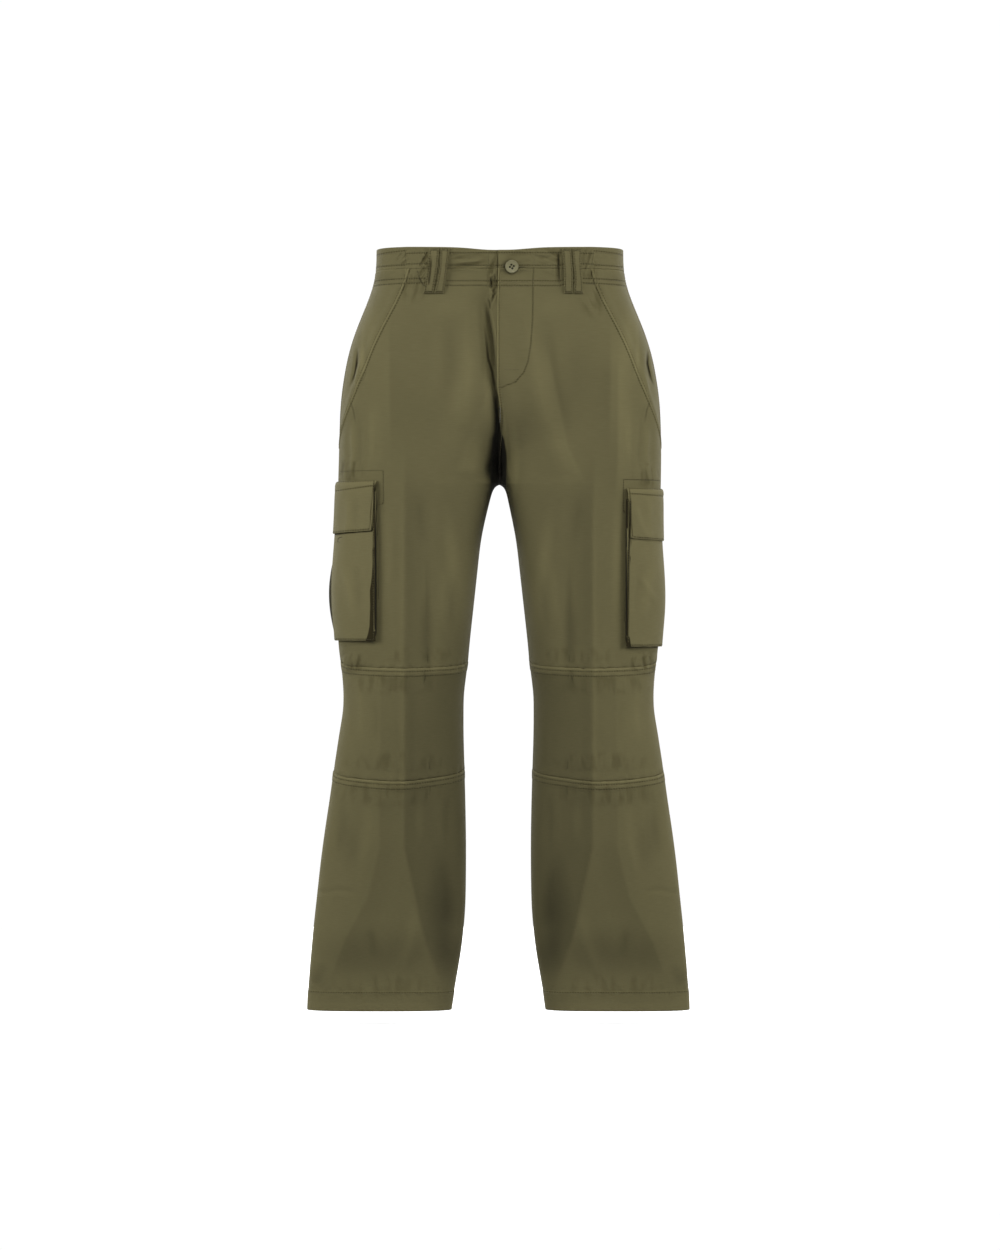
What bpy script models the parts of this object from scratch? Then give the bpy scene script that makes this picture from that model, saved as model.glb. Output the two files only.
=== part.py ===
"""Cargo trousers in worn form: cloth walls round a hollow, cut as panels, with pockets, belt loops and fly."""

import math

import bmesh
import bpy
import numpy as np
from mathutils import Vector

# Sizes in millimetres. +X is the wearer's left, -Y the front, +Z up. z = 0 is the middle of the waistband.
MM = 0.001
SEAM = 0.3            # gap between neighbouring pieces
CLOTH = 1.5           # one wall of the legs
BAND = 2.5            # waistband, two layers with a stiffening
POCKET = 1.4          # cargo pocket cloth
FLAP = 2.0            # flap, two layers
STRAP = 1.8           # belt loop, folded strip
BAND_FOOT = -8.0      # joint of waistband and panels
BAND_LIFT = 0.8       # waistband stands proud of the panels
CROTCH = -301.0
RISE_BLEND = 130.0    # height over which the body parts into two legs
CLEFT_FOOT, CLEFT_GROWTH = 0.025, 0.16   # share of the half section that curves under, from the crotch up
ARCH_REACH = 0.07
HEM = -1026.0
HEM_TURN = 27.0       # turned-up hem, a second layer
HEM_EXTRA = 1.1
LEAN = 2.2
FLY_FOOT = -192.0
FLY_DROP = 2.4        # the under side of the fly lies this much deeper
SHIELD_WIDTH = 38.0
SIDE_DROP = -2.3      # the side piece lies this deep under the slant edge
SIDE_FOOT = -243.0

# Height, outer edge seen from the front.
OUTER = (
    (32, 169.5), (10, 169.5), (-10, 171), (-27, 174), (-43, 180.5), (-60, 187), (-93, 201), (-126, 211),
    (-160, 217), (-192, 221), (-240, 222.5), (-300, 223), (-380, 223), (-450, 222.3), (-521, 221.5),
    (-554, 216.7), (-580, 214), (-612, 214.3), (-640, 219.5), (-670, 223.8), (-703, 229), (-736, 233.3),
    (-770, 238.7), (-820, 245.6), (-870, 251), (-918, 256.5), (-968, 260.8), (-1001, 263.5), (-1032, 264.8),
)
# Height, inner edge of a leg seen from the front, and how much wider the arch is cut along the inseam.
INNER = (
    (-301, 0, 0), (-303, 0.7, 4.3), (-306, 1.6, 6), (-311, 3.2, 6.7), (-322, 6.6, 5.8), (-339, 12.2, 4),
    (-372, 23, 0.6), (-421, 29, 0), (-471, 34.5, 0), (-521, 40, 0), (-554, 43, 0), (-587, 48, 0),
    (-637, 48.2, 0), (-687, 46.8, 0), (-736, 45.5, 0), (-800, 44.4, 0), (-869, 45, 0), (-918, 48.3, 0),
    (-951, 52.4, 0), (-985, 58.8, 0), (-1032, 66, 0),
)
# Height, front and back of the body section, side seam, squareness of the section.
BODY = (
    (32, -104, 104, 0, 2.9), (-27, -105, 108, 1, 2.9), (-90, -107, 121, 4, 2.8),
    (-160, -108, 133, 7, 2.8), (-230, -106, 137, 8, 2.8), (-301, -102, 132, 8, 2.6),
)
# Height, front and back of a leg section, side seam and inseam, squareness of the section.
LEG = (
    (-171, -99, 122, 8, 2.6), (-301, -97, 116, 8, 2.5), (-350, -92, 106, 7, 2.4), (-400, -87, 97, 5, 2.3),
    (-500, -81, 84, 2, 2.2), (-554, -77, 79, 1, 2.15), (-620, -73, 74, 0, 2.1), (-700, -65, 72, 2, 2.2),
    (-770, -55, 68, 5, 2.3), (-850, -44, 63, 9, 2.5), (-935, -35, 59, 12, 2.7), (-1032, -31, 56, 13, 2.8),
)
# Side, face, start x and z, end x and z, half width, height of each large fold.
FOLDS = (
    ("right", "front", 24, -45, 13, -168, 10, -9.0),
    ("both", "front", 1, -165, 1, -330, 12, -10.0),
    ("right", "front", 46, -45, 44, -265, 14, 4.0),
    ("left", "front", 28, -45, 96, -330, 15, 4.5),
    ("both", "front", 129, -290, 129, -800, 20, 3.0),
    ("both", "front", 100, -400, 97, -556, 11, -4.0),
    ("both", "front", 160, -770, 226, -985, 18, 4.0),
    ("both", "front", 129, -780, 80, -1000, 18, 4.0),
    ("both", "front", 92, -700, 66, -975, 14, -5.0),
    ("both", "back", 30, -300, 150, -345, 16, -7.0),
    ("both", "back", 55, -350, 165, -420, 20, -5.0),
    ("both", "back", 60, -590, 185, -570, 15, -6.0),
    ("both", "back", 75, -635, 195, -625, 17, -6.0),
    ("both", "back", 130, -660, 125, -1000, 26, 5.0),
    ("both", "back", 85, -720, 90, -1010, 18, -4.0),
    ("both", "back", 190, -740, 215, -1010, 20, -4.0),
)
# Height, distance of the slant pocket edge from the side seam.
SLANT = ((-6, 102), (-58, 97), (-98, 91), (-144, 82), (-180, 68), (-206, 50), (-228, 26), (-252, 0))
# Distance from the centre, height of the waistband's rim in front and behind.
RIM_FRONT = ((172, 22), (150, 22), (100, 21), (60, 20), (34, 18), (14, 16.5), (0, 16.5))
RIM_BACK = ((172, 22), (120, 23), (60, 25), (0, 26))
# Share of the way from inseam to side seam, height of the seams above and below the knee.
KNEE_TOP = ((1.0, -545), (0.82, -551), (0.5, -554), (0.2, -551), (0.0, -545))
KNEE_FOOT = ((1.0, -696), (0.82, -703), (0.5, -709), (0.25, -703), (0.0, -693))
# Name, side, face, then x and width at the top, a third, two thirds and the foot of each belt loop.
LOOPS = (
    ("front_right_outer", -1, "front", (89, 90, 93, 97.6), (13, 13, 13, 13)),
    ("front_right_inner", -1, "front", (74.8, 75.6, 78, 83.3), (12, 9.8, 10.5, 12.9)),
    ("front_left_inner", 1, "front", (90, 91.4, 92.4, 92.8), (12.3, 11.9, 12, 11.8)),
    ("front_left_outer", 1, "front", (104.2, 103.4, 105.5, 106.8), (12.5, 9.6, 10, 12.4)),
    ("back_right_outer", -1, "back", (106, 106, 106.5, 108), (12.5, 11.5, 11.5, 12.5)),
    ("back_right_inner", -1, "back", (91.5, 91, 91.5, 93), (12.5, 11, 11.5, 12.5)),
    ("back_left_inner", 1, "back", (90, 90.5, 91, 92), (12.5, 11, 11.5, 12.5)),
    ("back_left_outer", 1, "back", (104.5, 104.5, 105.5, 107), (12.5, 11.5, 11.5, 12.5)),
    ("centre_right", -1, "back", (7.1, 7.4, 7.4, 7.1), (12.4, 11.2, 11.2, 12.4)),
    ("centre_left", 1, "back", (7.1, 7.4, 7.4, 7.1), (12.4, 11.2, 11.2, 12.4)),
)
LOOP_TOP, LOOP_FOOT = 19.0, -43.0
# Share of the way down a belt loop, how far its inside stands off the panels.
LOOP_STAND = ((1.0, 0.6), (0.93, 1.0), (0.75, 2.9), (0.5, 3.9), (0.25, 3.6), (0.08, 1.9), (0.0, 1.2))
# Cargo pocket by side: x of its front edge, top of the flap's strip, foot of the pocket.
CARGO = {-1: (166.5, -298.0, -516.0), 1: (173.0, -308.0, -524.0)}
CARGO_BACK = 97.0     # reach behind the side seam
FLAP_MOUTH, FLAP_DROP = 14.0, 67.0     # below the top of the flap: pocket's mouth, flap's foot
# Share of the way down a cargo pocket, stand-off of its face at front edge, side and back edge.
CARGO_STAND = (
    (1.0, 6.6, 5.6, 6.4), (0.86, 7.8, 7.2, 7.6), (0.7, 8.3, 9.6, 8.4), (0.55, 8.0, 8.4, 8.2),
    (0.38, 7.4, 5.4, 7.4), (0.25, 6.4, 3.2, 6.4), (0.0, 4.6, 2.3, 4.6),
)
BUTTON_AT = (16.0, -6.6)
BUTTON_RADIUS, BUTTON_HEIGHT, HOLE_RADIUS, HOLE_STEP = 9.0, 2.8, 0.85, 1.75

OLIVE = (0.150, 0.137, 0.066, 1.0)
HORN = (0.235, 0.225, 0.135, 1.0)


def curve(table, column, at):
    """Value of a table column, smooth and without overshoot between its rows."""
    rows = np.array(table, float)[::-1]
    x, y = rows[:, 0], rows[:, column]
    step, slope = np.diff(x), np.diff(y) / np.diff(x)
    pair = slope[1:] * slope[:-1]
    middle = np.where(pair > 0, 2 * pair / np.where(pair > 0, slope[1:] + slope[:-1], 1), 0)
    bend = np.concatenate(([slope[0]], middle, [slope[-1]]))
    i = np.clip(np.searchsorted(x, at) - 1, 0, len(step) - 1)
    s = np.clip((at - x[i]) / step[i], 0, 1)
    return (y[i] * (1 + 2 * s) * (1 - s) ** 2 + step[i] * bend[i] * s * (1 - s) ** 2
            + y[i + 1] * s * s * (3 - 2 * s) + step[i] * bend[i + 1] * s * s * (s - 1))


def ease(t):
    """Smooth step from 0 to 1."""
    t = np.clip(t, 0, 1)
    return t * t * (3 - 2 * t)


def power(value, squareness):
    return np.sign(value) * np.abs(value) ** (2 / squareness)


def half_section(z):
    """Section of one half at height z, even steps: centre front or inseam, side seam (middle), back."""
    a = np.linspace(0, 1, 801)
    turn = math.pi * np.where(a < 0.5, 2 * a ** 2, 1 - 2 * (1 - a) ** 2)
    outer, (inner, arch) = curve(OUTER, 1, z), (curve(INNER, k, min(z, CROTCH)) for k in (1, 2))
    front, back, seam, square = (curve(BODY, k, max(z, BODY[-1][0])) for k in (1, 2, 3, 4))
    depth = np.where(a < 0.5, seam - front, back - seam)
    body = np.stack([outer * power(np.sin(turn), square), seam - depth * power(np.cos(turn), square)], 1)
    front, back, seam, square = (curve(LEG, k, min(z, LEG[0][0])) for k in (1, 2, 3, 4))
    depth = np.where(a < 0.5, seam - front, back - seam)
    half = (outer - inner) / 2
    arch = arch * np.exp(-(np.minimum(a, 1 - a) / ARCH_REACH) ** 2)
    leg = np.stack([inner + arch + half - half * power(np.cos(2 * math.pi * a), square),
                    seam - depth * power(np.sin(2 * math.pi * a), square)], 1)
    t = np.clip((z - CROTCH) / RISE_BLEND, 0, 1)
    cleft = np.exp(-(np.minimum(a, 1 - a) / (CLEFT_FOOT + CLEFT_GROWTH * t)) ** 2)
    guide = body + (leg - body) * ease(1 - t)
    line = guide + (leg - body) * (cleft * (1 - math.sqrt(1 - (1 - t) ** 2) - ease(1 - t)))[:, None]
    even = []
    for part in (slice(0, 401), slice(400, 801)):
        run = np.concatenate(([0], np.cumsum(np.linalg.norm(np.diff(guide[part], axis=0), axis=1))))
        at = np.linspace(0, run[-1], 121)
        even.append(np.stack([np.interp(at, run, line[part, k]) for k in (0, 1)], 1))
    return np.concatenate([even[0], even[1][1:]])


def surface_normals(grid):
    """Outward unit normals of the half surface, x taken positive."""
    across, down = np.gradient(grid, axis=1), np.gradient(grid, axis=0)
    normal = np.cross(across, down)
    return normal / np.maximum(np.linalg.norm(normal, axis=2, keepdims=True), 1e-9)


def fold_height(side, grid, normal):
    """How far the large folds and the fly's lap move the surface out."""
    x, z, facing = grid[..., 0], grid[..., 2], normal[..., 1]
    total = np.zeros(x.shape)
    for which, face, x0, z0, x1, z1, half, height in FOLDS:
        if which != "both" and which != ("left" if side > 0 else "right"):
            continue
        run = math.hypot(x1 - x0, z1 - z0)
        ux, uz = (x1 - x0) / run, (z1 - z0) / run
        along = ((x - x0) * ux + (z - z0) * uz) / run
        off = (x - x0) * uz - (z - z0) * ux
        ends = ease((along + 0.12) / 0.3) * ease((1.12 - along) / 0.3)
        toward = ease(-facing * 1.6 if face == "front" else facing * 1.6)
        total += height * np.exp(-(off / half) ** 2) * ends * toward
    near = ease((42 - x) / 20) * ease((z - FLY_FOOT + 30) / 22) * (facing < 0)
    return total + near * (0.5 if side > 0 else -FLY_DROP)


def make_heights():
    """Section heights, close together round the crotch."""
    plain = np.concatenate([np.arange(34, CROTCH + RISE_BLEND, -5.0), np.arange(CROTCH - 26, HEM - 8, -5.0)])
    over = CROTCH + RISE_BLEND * (1 - np.cos(np.linspace(0, math.pi / 2, 60)))
    under = CROTCH - 25 * np.linspace(0.02, 1, 24) ** 2
    return np.unique(np.concatenate([plain, over, under]))


HEIGHTS = make_heights()
AROUND = np.linspace(0, 2, 241)


def half_surface(side):
    flat = np.array([half_section(z) for z in HEIGHTS])
    grid = np.concatenate([flat, np.broadcast_to(HEIGHTS[:, None, None], flat.shape[:2] + (1,))], 2)
    normal = surface_normals(grid)
    push = normal * fold_height(side, grid, normal)[..., None]
    push[..., 0] *= np.where(grid[..., 2] > CROTCH - 4, ease(grid[..., 0] / 25), 1)
    grid = grid + push
    normal = surface_normals(grid)
    flip = np.array([side, 1, 1])
    return grid * flip, normal * flip


SURFACE = {side: half_surface(side) for side in (-1, 1)}


def spot(side, u, z, lift=0.0):
    """Points on the trousers: u = 0 centre front or inseam, 1 side seam, 2 back; lift moves them out."""
    u, z, lift = np.broadcast_arrays(np.asarray(u, float), np.asarray(z, float), np.asarray(lift, float))
    grid, normal = SURFACE[side]
    over = np.abs(np.where(u > 2, 4 - u, u))
    flip = np.where((u < 0) | (u > 2), -1.0, 1.0)
    r = np.clip(np.searchsorted(HEIGHTS, z) - 1, 0, len(HEIGHTS) - 2)
    fr = np.clip((z - HEIGHTS[r]) / (HEIGHTS[r + 1] - HEIGHTS[r]), 0, 1)[..., None]
    step = over / (AROUND[1] - AROUND[0])
    c = np.clip(step.astype(int), 0, len(AROUND) - 2)
    fc = (step - c)[..., None]

    def mix(field):
        top = field[r, c] * (1 - fc) + field[r, c + 1] * fc
        return top * (1 - fr) + (field[r + 1, c] * (1 - fc) + field[r + 1, c + 1] * fc) * fr

    direction = mix(normal)
    direction /= np.linalg.norm(direction, axis=-1, keepdims=True)
    out = mix(grid) + direction * lift[..., None]
    out[..., 0] *= flip
    return out


def row_at(z):
    return int(np.argmin(np.abs(HEIGHTS - z)))


def span(z, back=False):
    """Length of the front (or back) half of the section at height z."""
    line = SURFACE[1][0][row_at(z)][120:] if back else SURFACE[1][0][row_at(z)][:121]
    return float(np.linalg.norm(np.diff(line, axis=0), axis=1).sum())


def u_at(side, face, x, z):
    """Where a section passes distance x from the centre line, on the front or the back."""
    line = SURFACE[side][0][row_at(z)][:, 0] * side
    if face == "front":
        return float(np.interp(x, np.maximum.accumulate(line[:121]), AROUND[:121]))
    return 2 - float(np.interp(x, np.maximum.accumulate(line[120:][::-1]), 2 - AROUND[120:][::-1]))


def keep_side(points, side):
    """Stop a seam edge from crossing the centre plane."""
    points[..., 0] = side * np.maximum(points[..., 0] * side, SEAM / 2)
    return points


def centre_seam(outer, inner, side, col):
    """Square off the walls' edge on the centre plane: the inside lies straight behind the outside."""
    rows = [r for r in range(1, len(outer) - 1) if outer[r, col, 2] > CROTCH + 6]
    for r in rows:
        along = outer[r + 1, col] - outer[r - 1, col]
        inward = np.array([0, -along[2], along[1]]) * np.sign(-along[2] * -outer[r, col, 1])
        inner[r, col] = outer[r, col] + CLOTH * inward / np.linalg.norm(inward)
        inner[r, col, 0] = outer[r, col, 0] = side * SEAM / 2


def metres(point):
    """A point in metres, with the body standing a little to the wearer's left of the legs."""
    x, y, z = (float(value) for value in point)
    return (x + LEAN * float(ease((z + 380) / 150))) * MM, y * MM, z * MM


def material(name, colour, roughness):
    made = bpy.data.materials.new(name)
    made.use_nodes = True
    shader = made.node_tree.nodes["Principled BSDF"]
    shader.inputs["Base Color"].default_value = colour
    shader.inputs["Roughness"].default_value = roughness
    return made


def add_object(name, bm, colour=OLIVE, roughness=0.88):
    bmesh.ops.recalc_face_normals(bm, faces=bm.faces)
    if bm.calc_volume(signed=True) < 0:
        bmesh.ops.reverse_faces(bm, faces=bm.faces)
    mesh = bpy.data.meshes.new(name)
    bm.to_mesh(mesh)
    bm.free()
    mesh.materials.append(material(name + "_material", colour, roughness))
    bpy.context.scene.collection.objects.link(bpy.data.objects.new(name, mesh))


def wall(name, outer, inner):
    """Close two matching grids of points into one thin piece."""
    rows, cols = outer.shape[:2]
    bm = bmesh.new()
    skins = [[[bm.verts.new(metres(p)) for p in line] for line in grid] for grid in (outer, inner)]
    for r in range(rows - 1):
        for c in range(cols - 1):
            for skin in skins:
                bm.faces.new((skin[r][c], skin[r][c + 1], skin[r + 1][c + 1], skin[r + 1][c]))
    edge = ([(0, c) for c in range(cols)] + [(r, cols - 1) for r in range(1, rows)]
            + [(rows - 1, c) for c in range(cols - 2, -1, -1)] + [(r, 0) for r in range(rows - 2, 0, -1)])
    for (r0, c0), (r1, c1) in zip(edge, edge[1:] + edge[:1]):
        bm.faces.new((skins[0][r0][c0], skins[0][r1][c1], skins[1][r1][c1], skins[1][r0][c0]))
    add_object(name, bm)


def lofted(name, rings):
    """Close a run of four-cornered rings into one bar."""
    bm = bmesh.new()
    made = [[bm.verts.new(metres(p)) for p in ring] for ring in rings]
    for a, b in zip(made, made[1:]):
        for k in range(4):
            bm.faces.new((a[k], a[(k + 1) % 4], b[(k + 1) % 4], b[k]))
    bm.faces.new(made[0])
    bm.faces.new(made[-1])
    add_object(name, bm)


def side_name(side):
    return "left" if side > 0 else "right"


def hem_wall(z):
    return CLOTH + HEM_EXTRA * ease((HEM + HEM_TURN + 4 - z) / 4)


def slant_u(z):
    return 1 - float(curve(SLANT, 1, z)) / span(z)


def make_bands():
    joint, gap = slant_u(6), SEAM / 2 / span(6)

    def band_grid(side, us, face="front", lift=BAND_LIFT):
        x = np.abs(spot(side, us, 12.0)[..., 0])
        rim = curve(RIM_FRONT if face == "front" else RIM_BACK, 1, x)
        foot = BAND_FOOT + SEAM / 2
        z = foot + (rim - foot)[None, :] * np.array([0.0, 0.3, 0.7, 1.0])[:, None]
        return [spot(side, us[None, :], z, lift - depth) for depth in (0, BAND)]

    def joined(*pairs):
        return [np.concatenate(grids, 1) for grids in zip(*pairs)]

    under = band_grid(1, np.linspace(SHIELD_WIDTH, 1, 5) / span(6), lift=BAND_LIFT - BAND - 0.5)
    wall("band_front_right", *joined(under, band_grid(-1, np.linspace(2 * gap, joint - gap, 11))))
    wall("band_front_left", *band_grid(1, np.linspace(-2.5 / span(6), joint - gap, 12)))
    halves = [joined(band_grid(side, np.linspace(joint + gap, 1, 5)[:-1]),
                     band_grid(side, np.linspace(1, 2, 13), "back")) for side in (-1, 1)]
    wall("band_back", *[np.concatenate([halves[0][k], halves[1][k][:, -2::-1]], 1) for k in (0, 1)])


FRONT_ROWS = (BAND_FOOT - SEAM / 2, -22, -38, -58, -80, -104, -128, -152, -176, -200, -222, -243, -262,
              -277.6, -289.3, -297.1, CROTCH, -303.5, -311, -325, -350, -380, -410, -440, -470, -500,
              -526, -550)
FRONT_COLS = (0, .04, .09, .15, .22, .30, .38, .46, .54, .62, .70, .78, .86, .93, 1)
BACK_ROWS = (BAND_FOOT - SEAM / 2, -32, -60, -90, -122, -152, -182, -210, -238, -260, -277.6, -289.3,
             -297.1, CROTCH, -303.5, -311, -325, -350, -380, -410, -440, -470, -500, -526, -558, -588,
             -612, -636, -662, -695, -730, -765, -800, -836, -872, -908, -944, -974, -996, -1003, -1015,
             HEM)
BACK_COLS = (0, .08, .17, .26, .36, .46, .57, .67, .77, .86, .94, 1)


def front_edges(side, z):
    """Limits of the front panel at height z."""
    gap = SEAM / 2 / span(z)
    first = gap if z <= FLY_FOOT or side < 0 else -(2.5 + 1.5 * ease((-z) / 60)) / span(z)
    return first, min(slant_u(z), 1 - gap)


def make_fronts():
    for side in (-1, 1):
        us, zs = [], []
        for z in FRONT_ROWS:
            first, last = front_edges(side, z)
            row = first + (last - first) * np.array(FRONT_COLS)
            foot = curve(KNEE_TOP, 1, row) + SEAM / 2
            us.append(row)
            zs.append(z + (foot - FRONT_ROWS[-1]) * ease((z + 420) / (FRONT_ROWS[-1] + 420)))
        us, zs = np.array(us), np.array(zs)
        skins = [spot(side, us, zs, -depth) for depth in (0, CLOTH)]
        below = np.array([z <= FLY_FOOT or side < 0 for z in FRONT_ROWS])
        for skin in skins:
            skin[below] = keep_side(skin[below], side)
        first = int(np.argmax(below)) if side > 0 else 0
        centre_seam(skins[0][first:], skins[1][first:], side, 0)
        wall("front_" + side_name(side), *skins)


def make_sides():
    """Slant pocket's side piece; it starts under the front panel's last column."""
    rows = [z for z in FRONT_ROWS if z > SIDE_FOOT - 1]
    for side in (-1, 1):
        us, lifts = [], []
        for z in rows:
            first, edge = front_edges(side, z)
            last = 1 - SEAM / 2 / span(z)
            start = first + (edge - first) * FRONT_COLS[-2]
            us.append([start, edge, edge + (last - edge) * 0.2, edge + (last - edge) * 0.6, last])
            raised = SIDE_DROP * (1 - ease((z - SIDE_FOOT - 20) / 40))
            lifts.append([SIDE_DROP, SIDE_DROP, SIDE_DROP, (raised + SIDE_DROP) / 2, raised - 0.2])
        us, lifts, zs = np.array(us), np.array(lifts), np.array(rows)[:, None]
        wall("side_" + side_name(side), spot(side, us, zs, lifts), spot(side, us, zs, lifts - CLOTH))


def make_knees_and_shins():
    shin_rows = (-709, -730, -752, -775, -800, -828, -858, -888, -918, -946, -974, -996, -1003, -1015, HEM)
    for side in (-1, 1):
        cols = np.array((0, .06, .14, .23, .32, .41, .5, .59, .68, .77, .86, .94, 1))
        gap = SEAM / 2 / span(-620)
        us = gap + (1 - 2 * gap) * cols
        top, foot = curve(KNEE_TOP, 1, us) - SEAM / 2, curve(KNEE_FOOT, 1, us) + SEAM / 2
        zs = top + (foot - top) * np.linspace(0, 1, 8)[:, None]
        wall("knee_" + side_name(side), spot(side, us, zs), spot(side, us, zs, -CLOTH))
        top = curve(KNEE_FOOT, 1, us) - SEAM / 2
        zs = np.array([z + (top - shin_rows[0]) * ease((z + 830) / 121) for z in shin_rows])
        wall("shin_" + side_name(side), spot(side, us, zs), spot(side, us, zs, -hem_wall(zs)))


def make_backs():
    for side in (-1, 1):
        gaps = np.array([SEAM / 2 / span(z, True) for z in BACK_ROWS])[:, None]
        us, zs = 1 + gaps + (1 - 2 * gaps) * np.array(BACK_COLS), np.array(BACK_ROWS)[:, None]
        skins = [keep_side(spot(side, us, zs, -depth), side) for depth in (0 * zs, hem_wall(zs))]
        centre_seam(*skins, side, -1)
        wall("back_" + side_name(side), *skins)


def make_fly_shield():
    rows = np.array((BAND_FOOT - SEAM / 2, -42, -80, -120, -160, FLY_FOOT + 6))[:, None]
    widths = SHIELD_WIDTH * np.array((1, 1, 1, 0.97, 0.86, 0.55))[:, None]
    lengths = np.array([span(z) for z in rows[:, 0]])[:, None]
    us = (SEAM / 2 + (widths - SEAM / 2) * np.linspace(0, 1, 5)) / lengths
    lift = -CLOTH - 1.3
    wall("fly_shield", spot(1, us, rows, lift), spot(1, us, rows, lift - CLOTH))


def make_loops():
    down = np.array((0, 0.08, 0.25, 0.42, 0.58, 0.75, 0.93, 1.0))
    stand = curve(LOOP_STAND, 1, down)
    heights = LOOP_TOP + (LOOP_FOOT - LOOP_TOP) * down
    for name, side, face, centres, widths in LOOPS:
        thirds = np.array((0, 1 / 3, 2 / 3, 1))
        middle, width = np.interp(down, thirds, centres), np.interp(down, thirds, widths)
        us = np.array([[u_at(side, face, m + k * w / 2, z) for k in (-1, 1)]
                       for m, w, z in zip(middle, width, heights)])
        zs, lifts = heights[:, None], stand[:, None]
        wall("loop_" + name, spot(side, us, zs, lifts + STRAP), spot(side, us, zs, lifts))


def cargo_limits(side, z):
    """Front and back edges of the cargo pocket at height z."""
    return u_at(side, "front", CARGO[side][0], z), 1 + CARGO_BACK / span(z, True)


def cargo_lines(side, z, inset=0.0):
    """Across lines of the pocket at height z: its edges, and the panels' own lines between them."""
    fore, aft = cargo_limits(side, z)
    within = [c for c in FRONT_COLS if c > 0.68] + [1 + c for c in BACK_COLS[1:] if c < 0.36]
    return np.array([fore + inset / span(z), *within, aft - inset / span(z, True)])


def cargo_rows(top, foot):
    """Heights of the pocket's rows: its ends and the panels' own rows between them."""
    return [top, *[z for z in FRONT_ROWS if foot + 7 < z < top - 7], foot]


def cargo_face(side):
    """Rows, across lines and stand-offs of the pocket's face."""
    _, top, foot = CARGO[side]
    rows = cargo_rows(top - FLAP_MOUTH, foot)
    us = np.array([cargo_lines(side, z) for z in rows])
    down = (np.array(rows) - rows[0]) / (rows[-1] - rows[0])
    fore, aft = us[:, :1], us[:, -1:]
    reach = ease(np.where(us < 1, (us - fore) / (1 - fore), (aft - us) / (aft - 1)) / 0.85)
    front, middle, back = (curve(CARGO_STAND, k, down)[:, None] for k in (1, 2, 3))
    return rows, us, np.where(us < 1, front, back) * (1 - reach) + middle * reach


def stand_at(face, u, z):
    """Stand-off of the pocket's flat facets at one height."""
    rows, us, lifts = face
    at = float(np.interp(-z, -np.array(rows), np.arange(len(rows))))
    r = min(int(at), len(rows) - 2)
    part = at - r
    return np.interp(u, us[r] * (1 - part) + us[r + 1] * part, lifts[r] * (1 - part) + lifts[r + 1] * part)


def make_cargo_pockets():
    for side in (-1, 1):
        face = cargo_face(side)
        rows, us, lift = face
        zs = np.array(rows)[:, None]
        wall("pocket_" + side_name(side), spot(side, us, zs, lift), spot(side, us, zs, lift - POCKET))
        make_gusset(side, face)
        make_flap(side, face)


def make_gusset(side, face):
    """Strip standing on the leg under the pocket's front, foot and back edges."""
    inset, radius = 0.6, 9.0
    rows = face[0]
    level = rows[-1] + inset
    turns = [(1 - math.cos(t), 1 - math.sin(t)) for t in np.linspace(0, math.pi / 2, 5)]
    down = [(0.0, z) for z in rows[:-1]] + [(radius * a, level + radius * b) for a, b in turns]
    across = cargo_lines(side, level)[1:-1]
    path = ([("fore", *step) for step in down] + [(u, 0.0, level) for u in across]
            + [("aft", *step) for step in reversed(down)])
    rings = []
    for end, along, z in path:
        ring = []
        for thick in (0.0, POCKET):
            turned = 1.0 if end not in ("fore", "aft") else along / radius
            height = z + thick * turned
            fore, aft = cargo_limits(side, height)
            reach = inset + along + thick * (1 - turned)
            u = {"fore": fore + reach / span(height), "aft": aft - reach / span(height, True)}.get(end, end)
            ring.append((u, height, float(stand_at(face, u, height)) - POCKET - 4 * SEAM))
        (ua, za, ha), (ub, zb, hb) = ring
        rings.append([spot(side, ua, za, SEAM), spot(side, ua, za, ha), spot(side, ub, zb, hb),
                      spot(side, ub, zb, SEAM)])
    lofted("gusset_" + side_name(side), rings)


def make_flap(side, face):
    """Flap hung from its stitched strip over the pocket's mouth."""
    top = CARGO[side][1]
    rest = SEAM + 0.2
    rows = [top, top - 1.0, top - 6.2, top - 7.4, *cargo_rows(top - FLAP_MOUTH, top - FLAP_DROP)]
    us, zs, outer, inner = [], [], [], []
    for k, z in enumerate(rows):
        line = cargo_lines(side, z, 1.0 + 4.0 * (top - z) / FLAP_DROP)
        sag = 4.0 * (1 - np.abs(np.linspace(-1, 1, len(line))) ** 1.5) * (k == len(rows) - 1)
        lift = np.array([float(stand_at(face, u, h)) for u, h in zip(line, z - sag)])
        under = rest + lift * ease((top - z) / FLAP_MOUTH)
        us.append(line)
        zs.append(z - sag)
        inner.append(under)
        outer.append(under + FLAP + (0.9 if k in (1, 2) else 0))
    us, zs, outer, inner = (np.array(part) for part in (us, zs, outer, inner))
    wall("flap_" + side_name(side), spot(side, us, zs, outer), spot(side, us, zs, inner))


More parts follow.
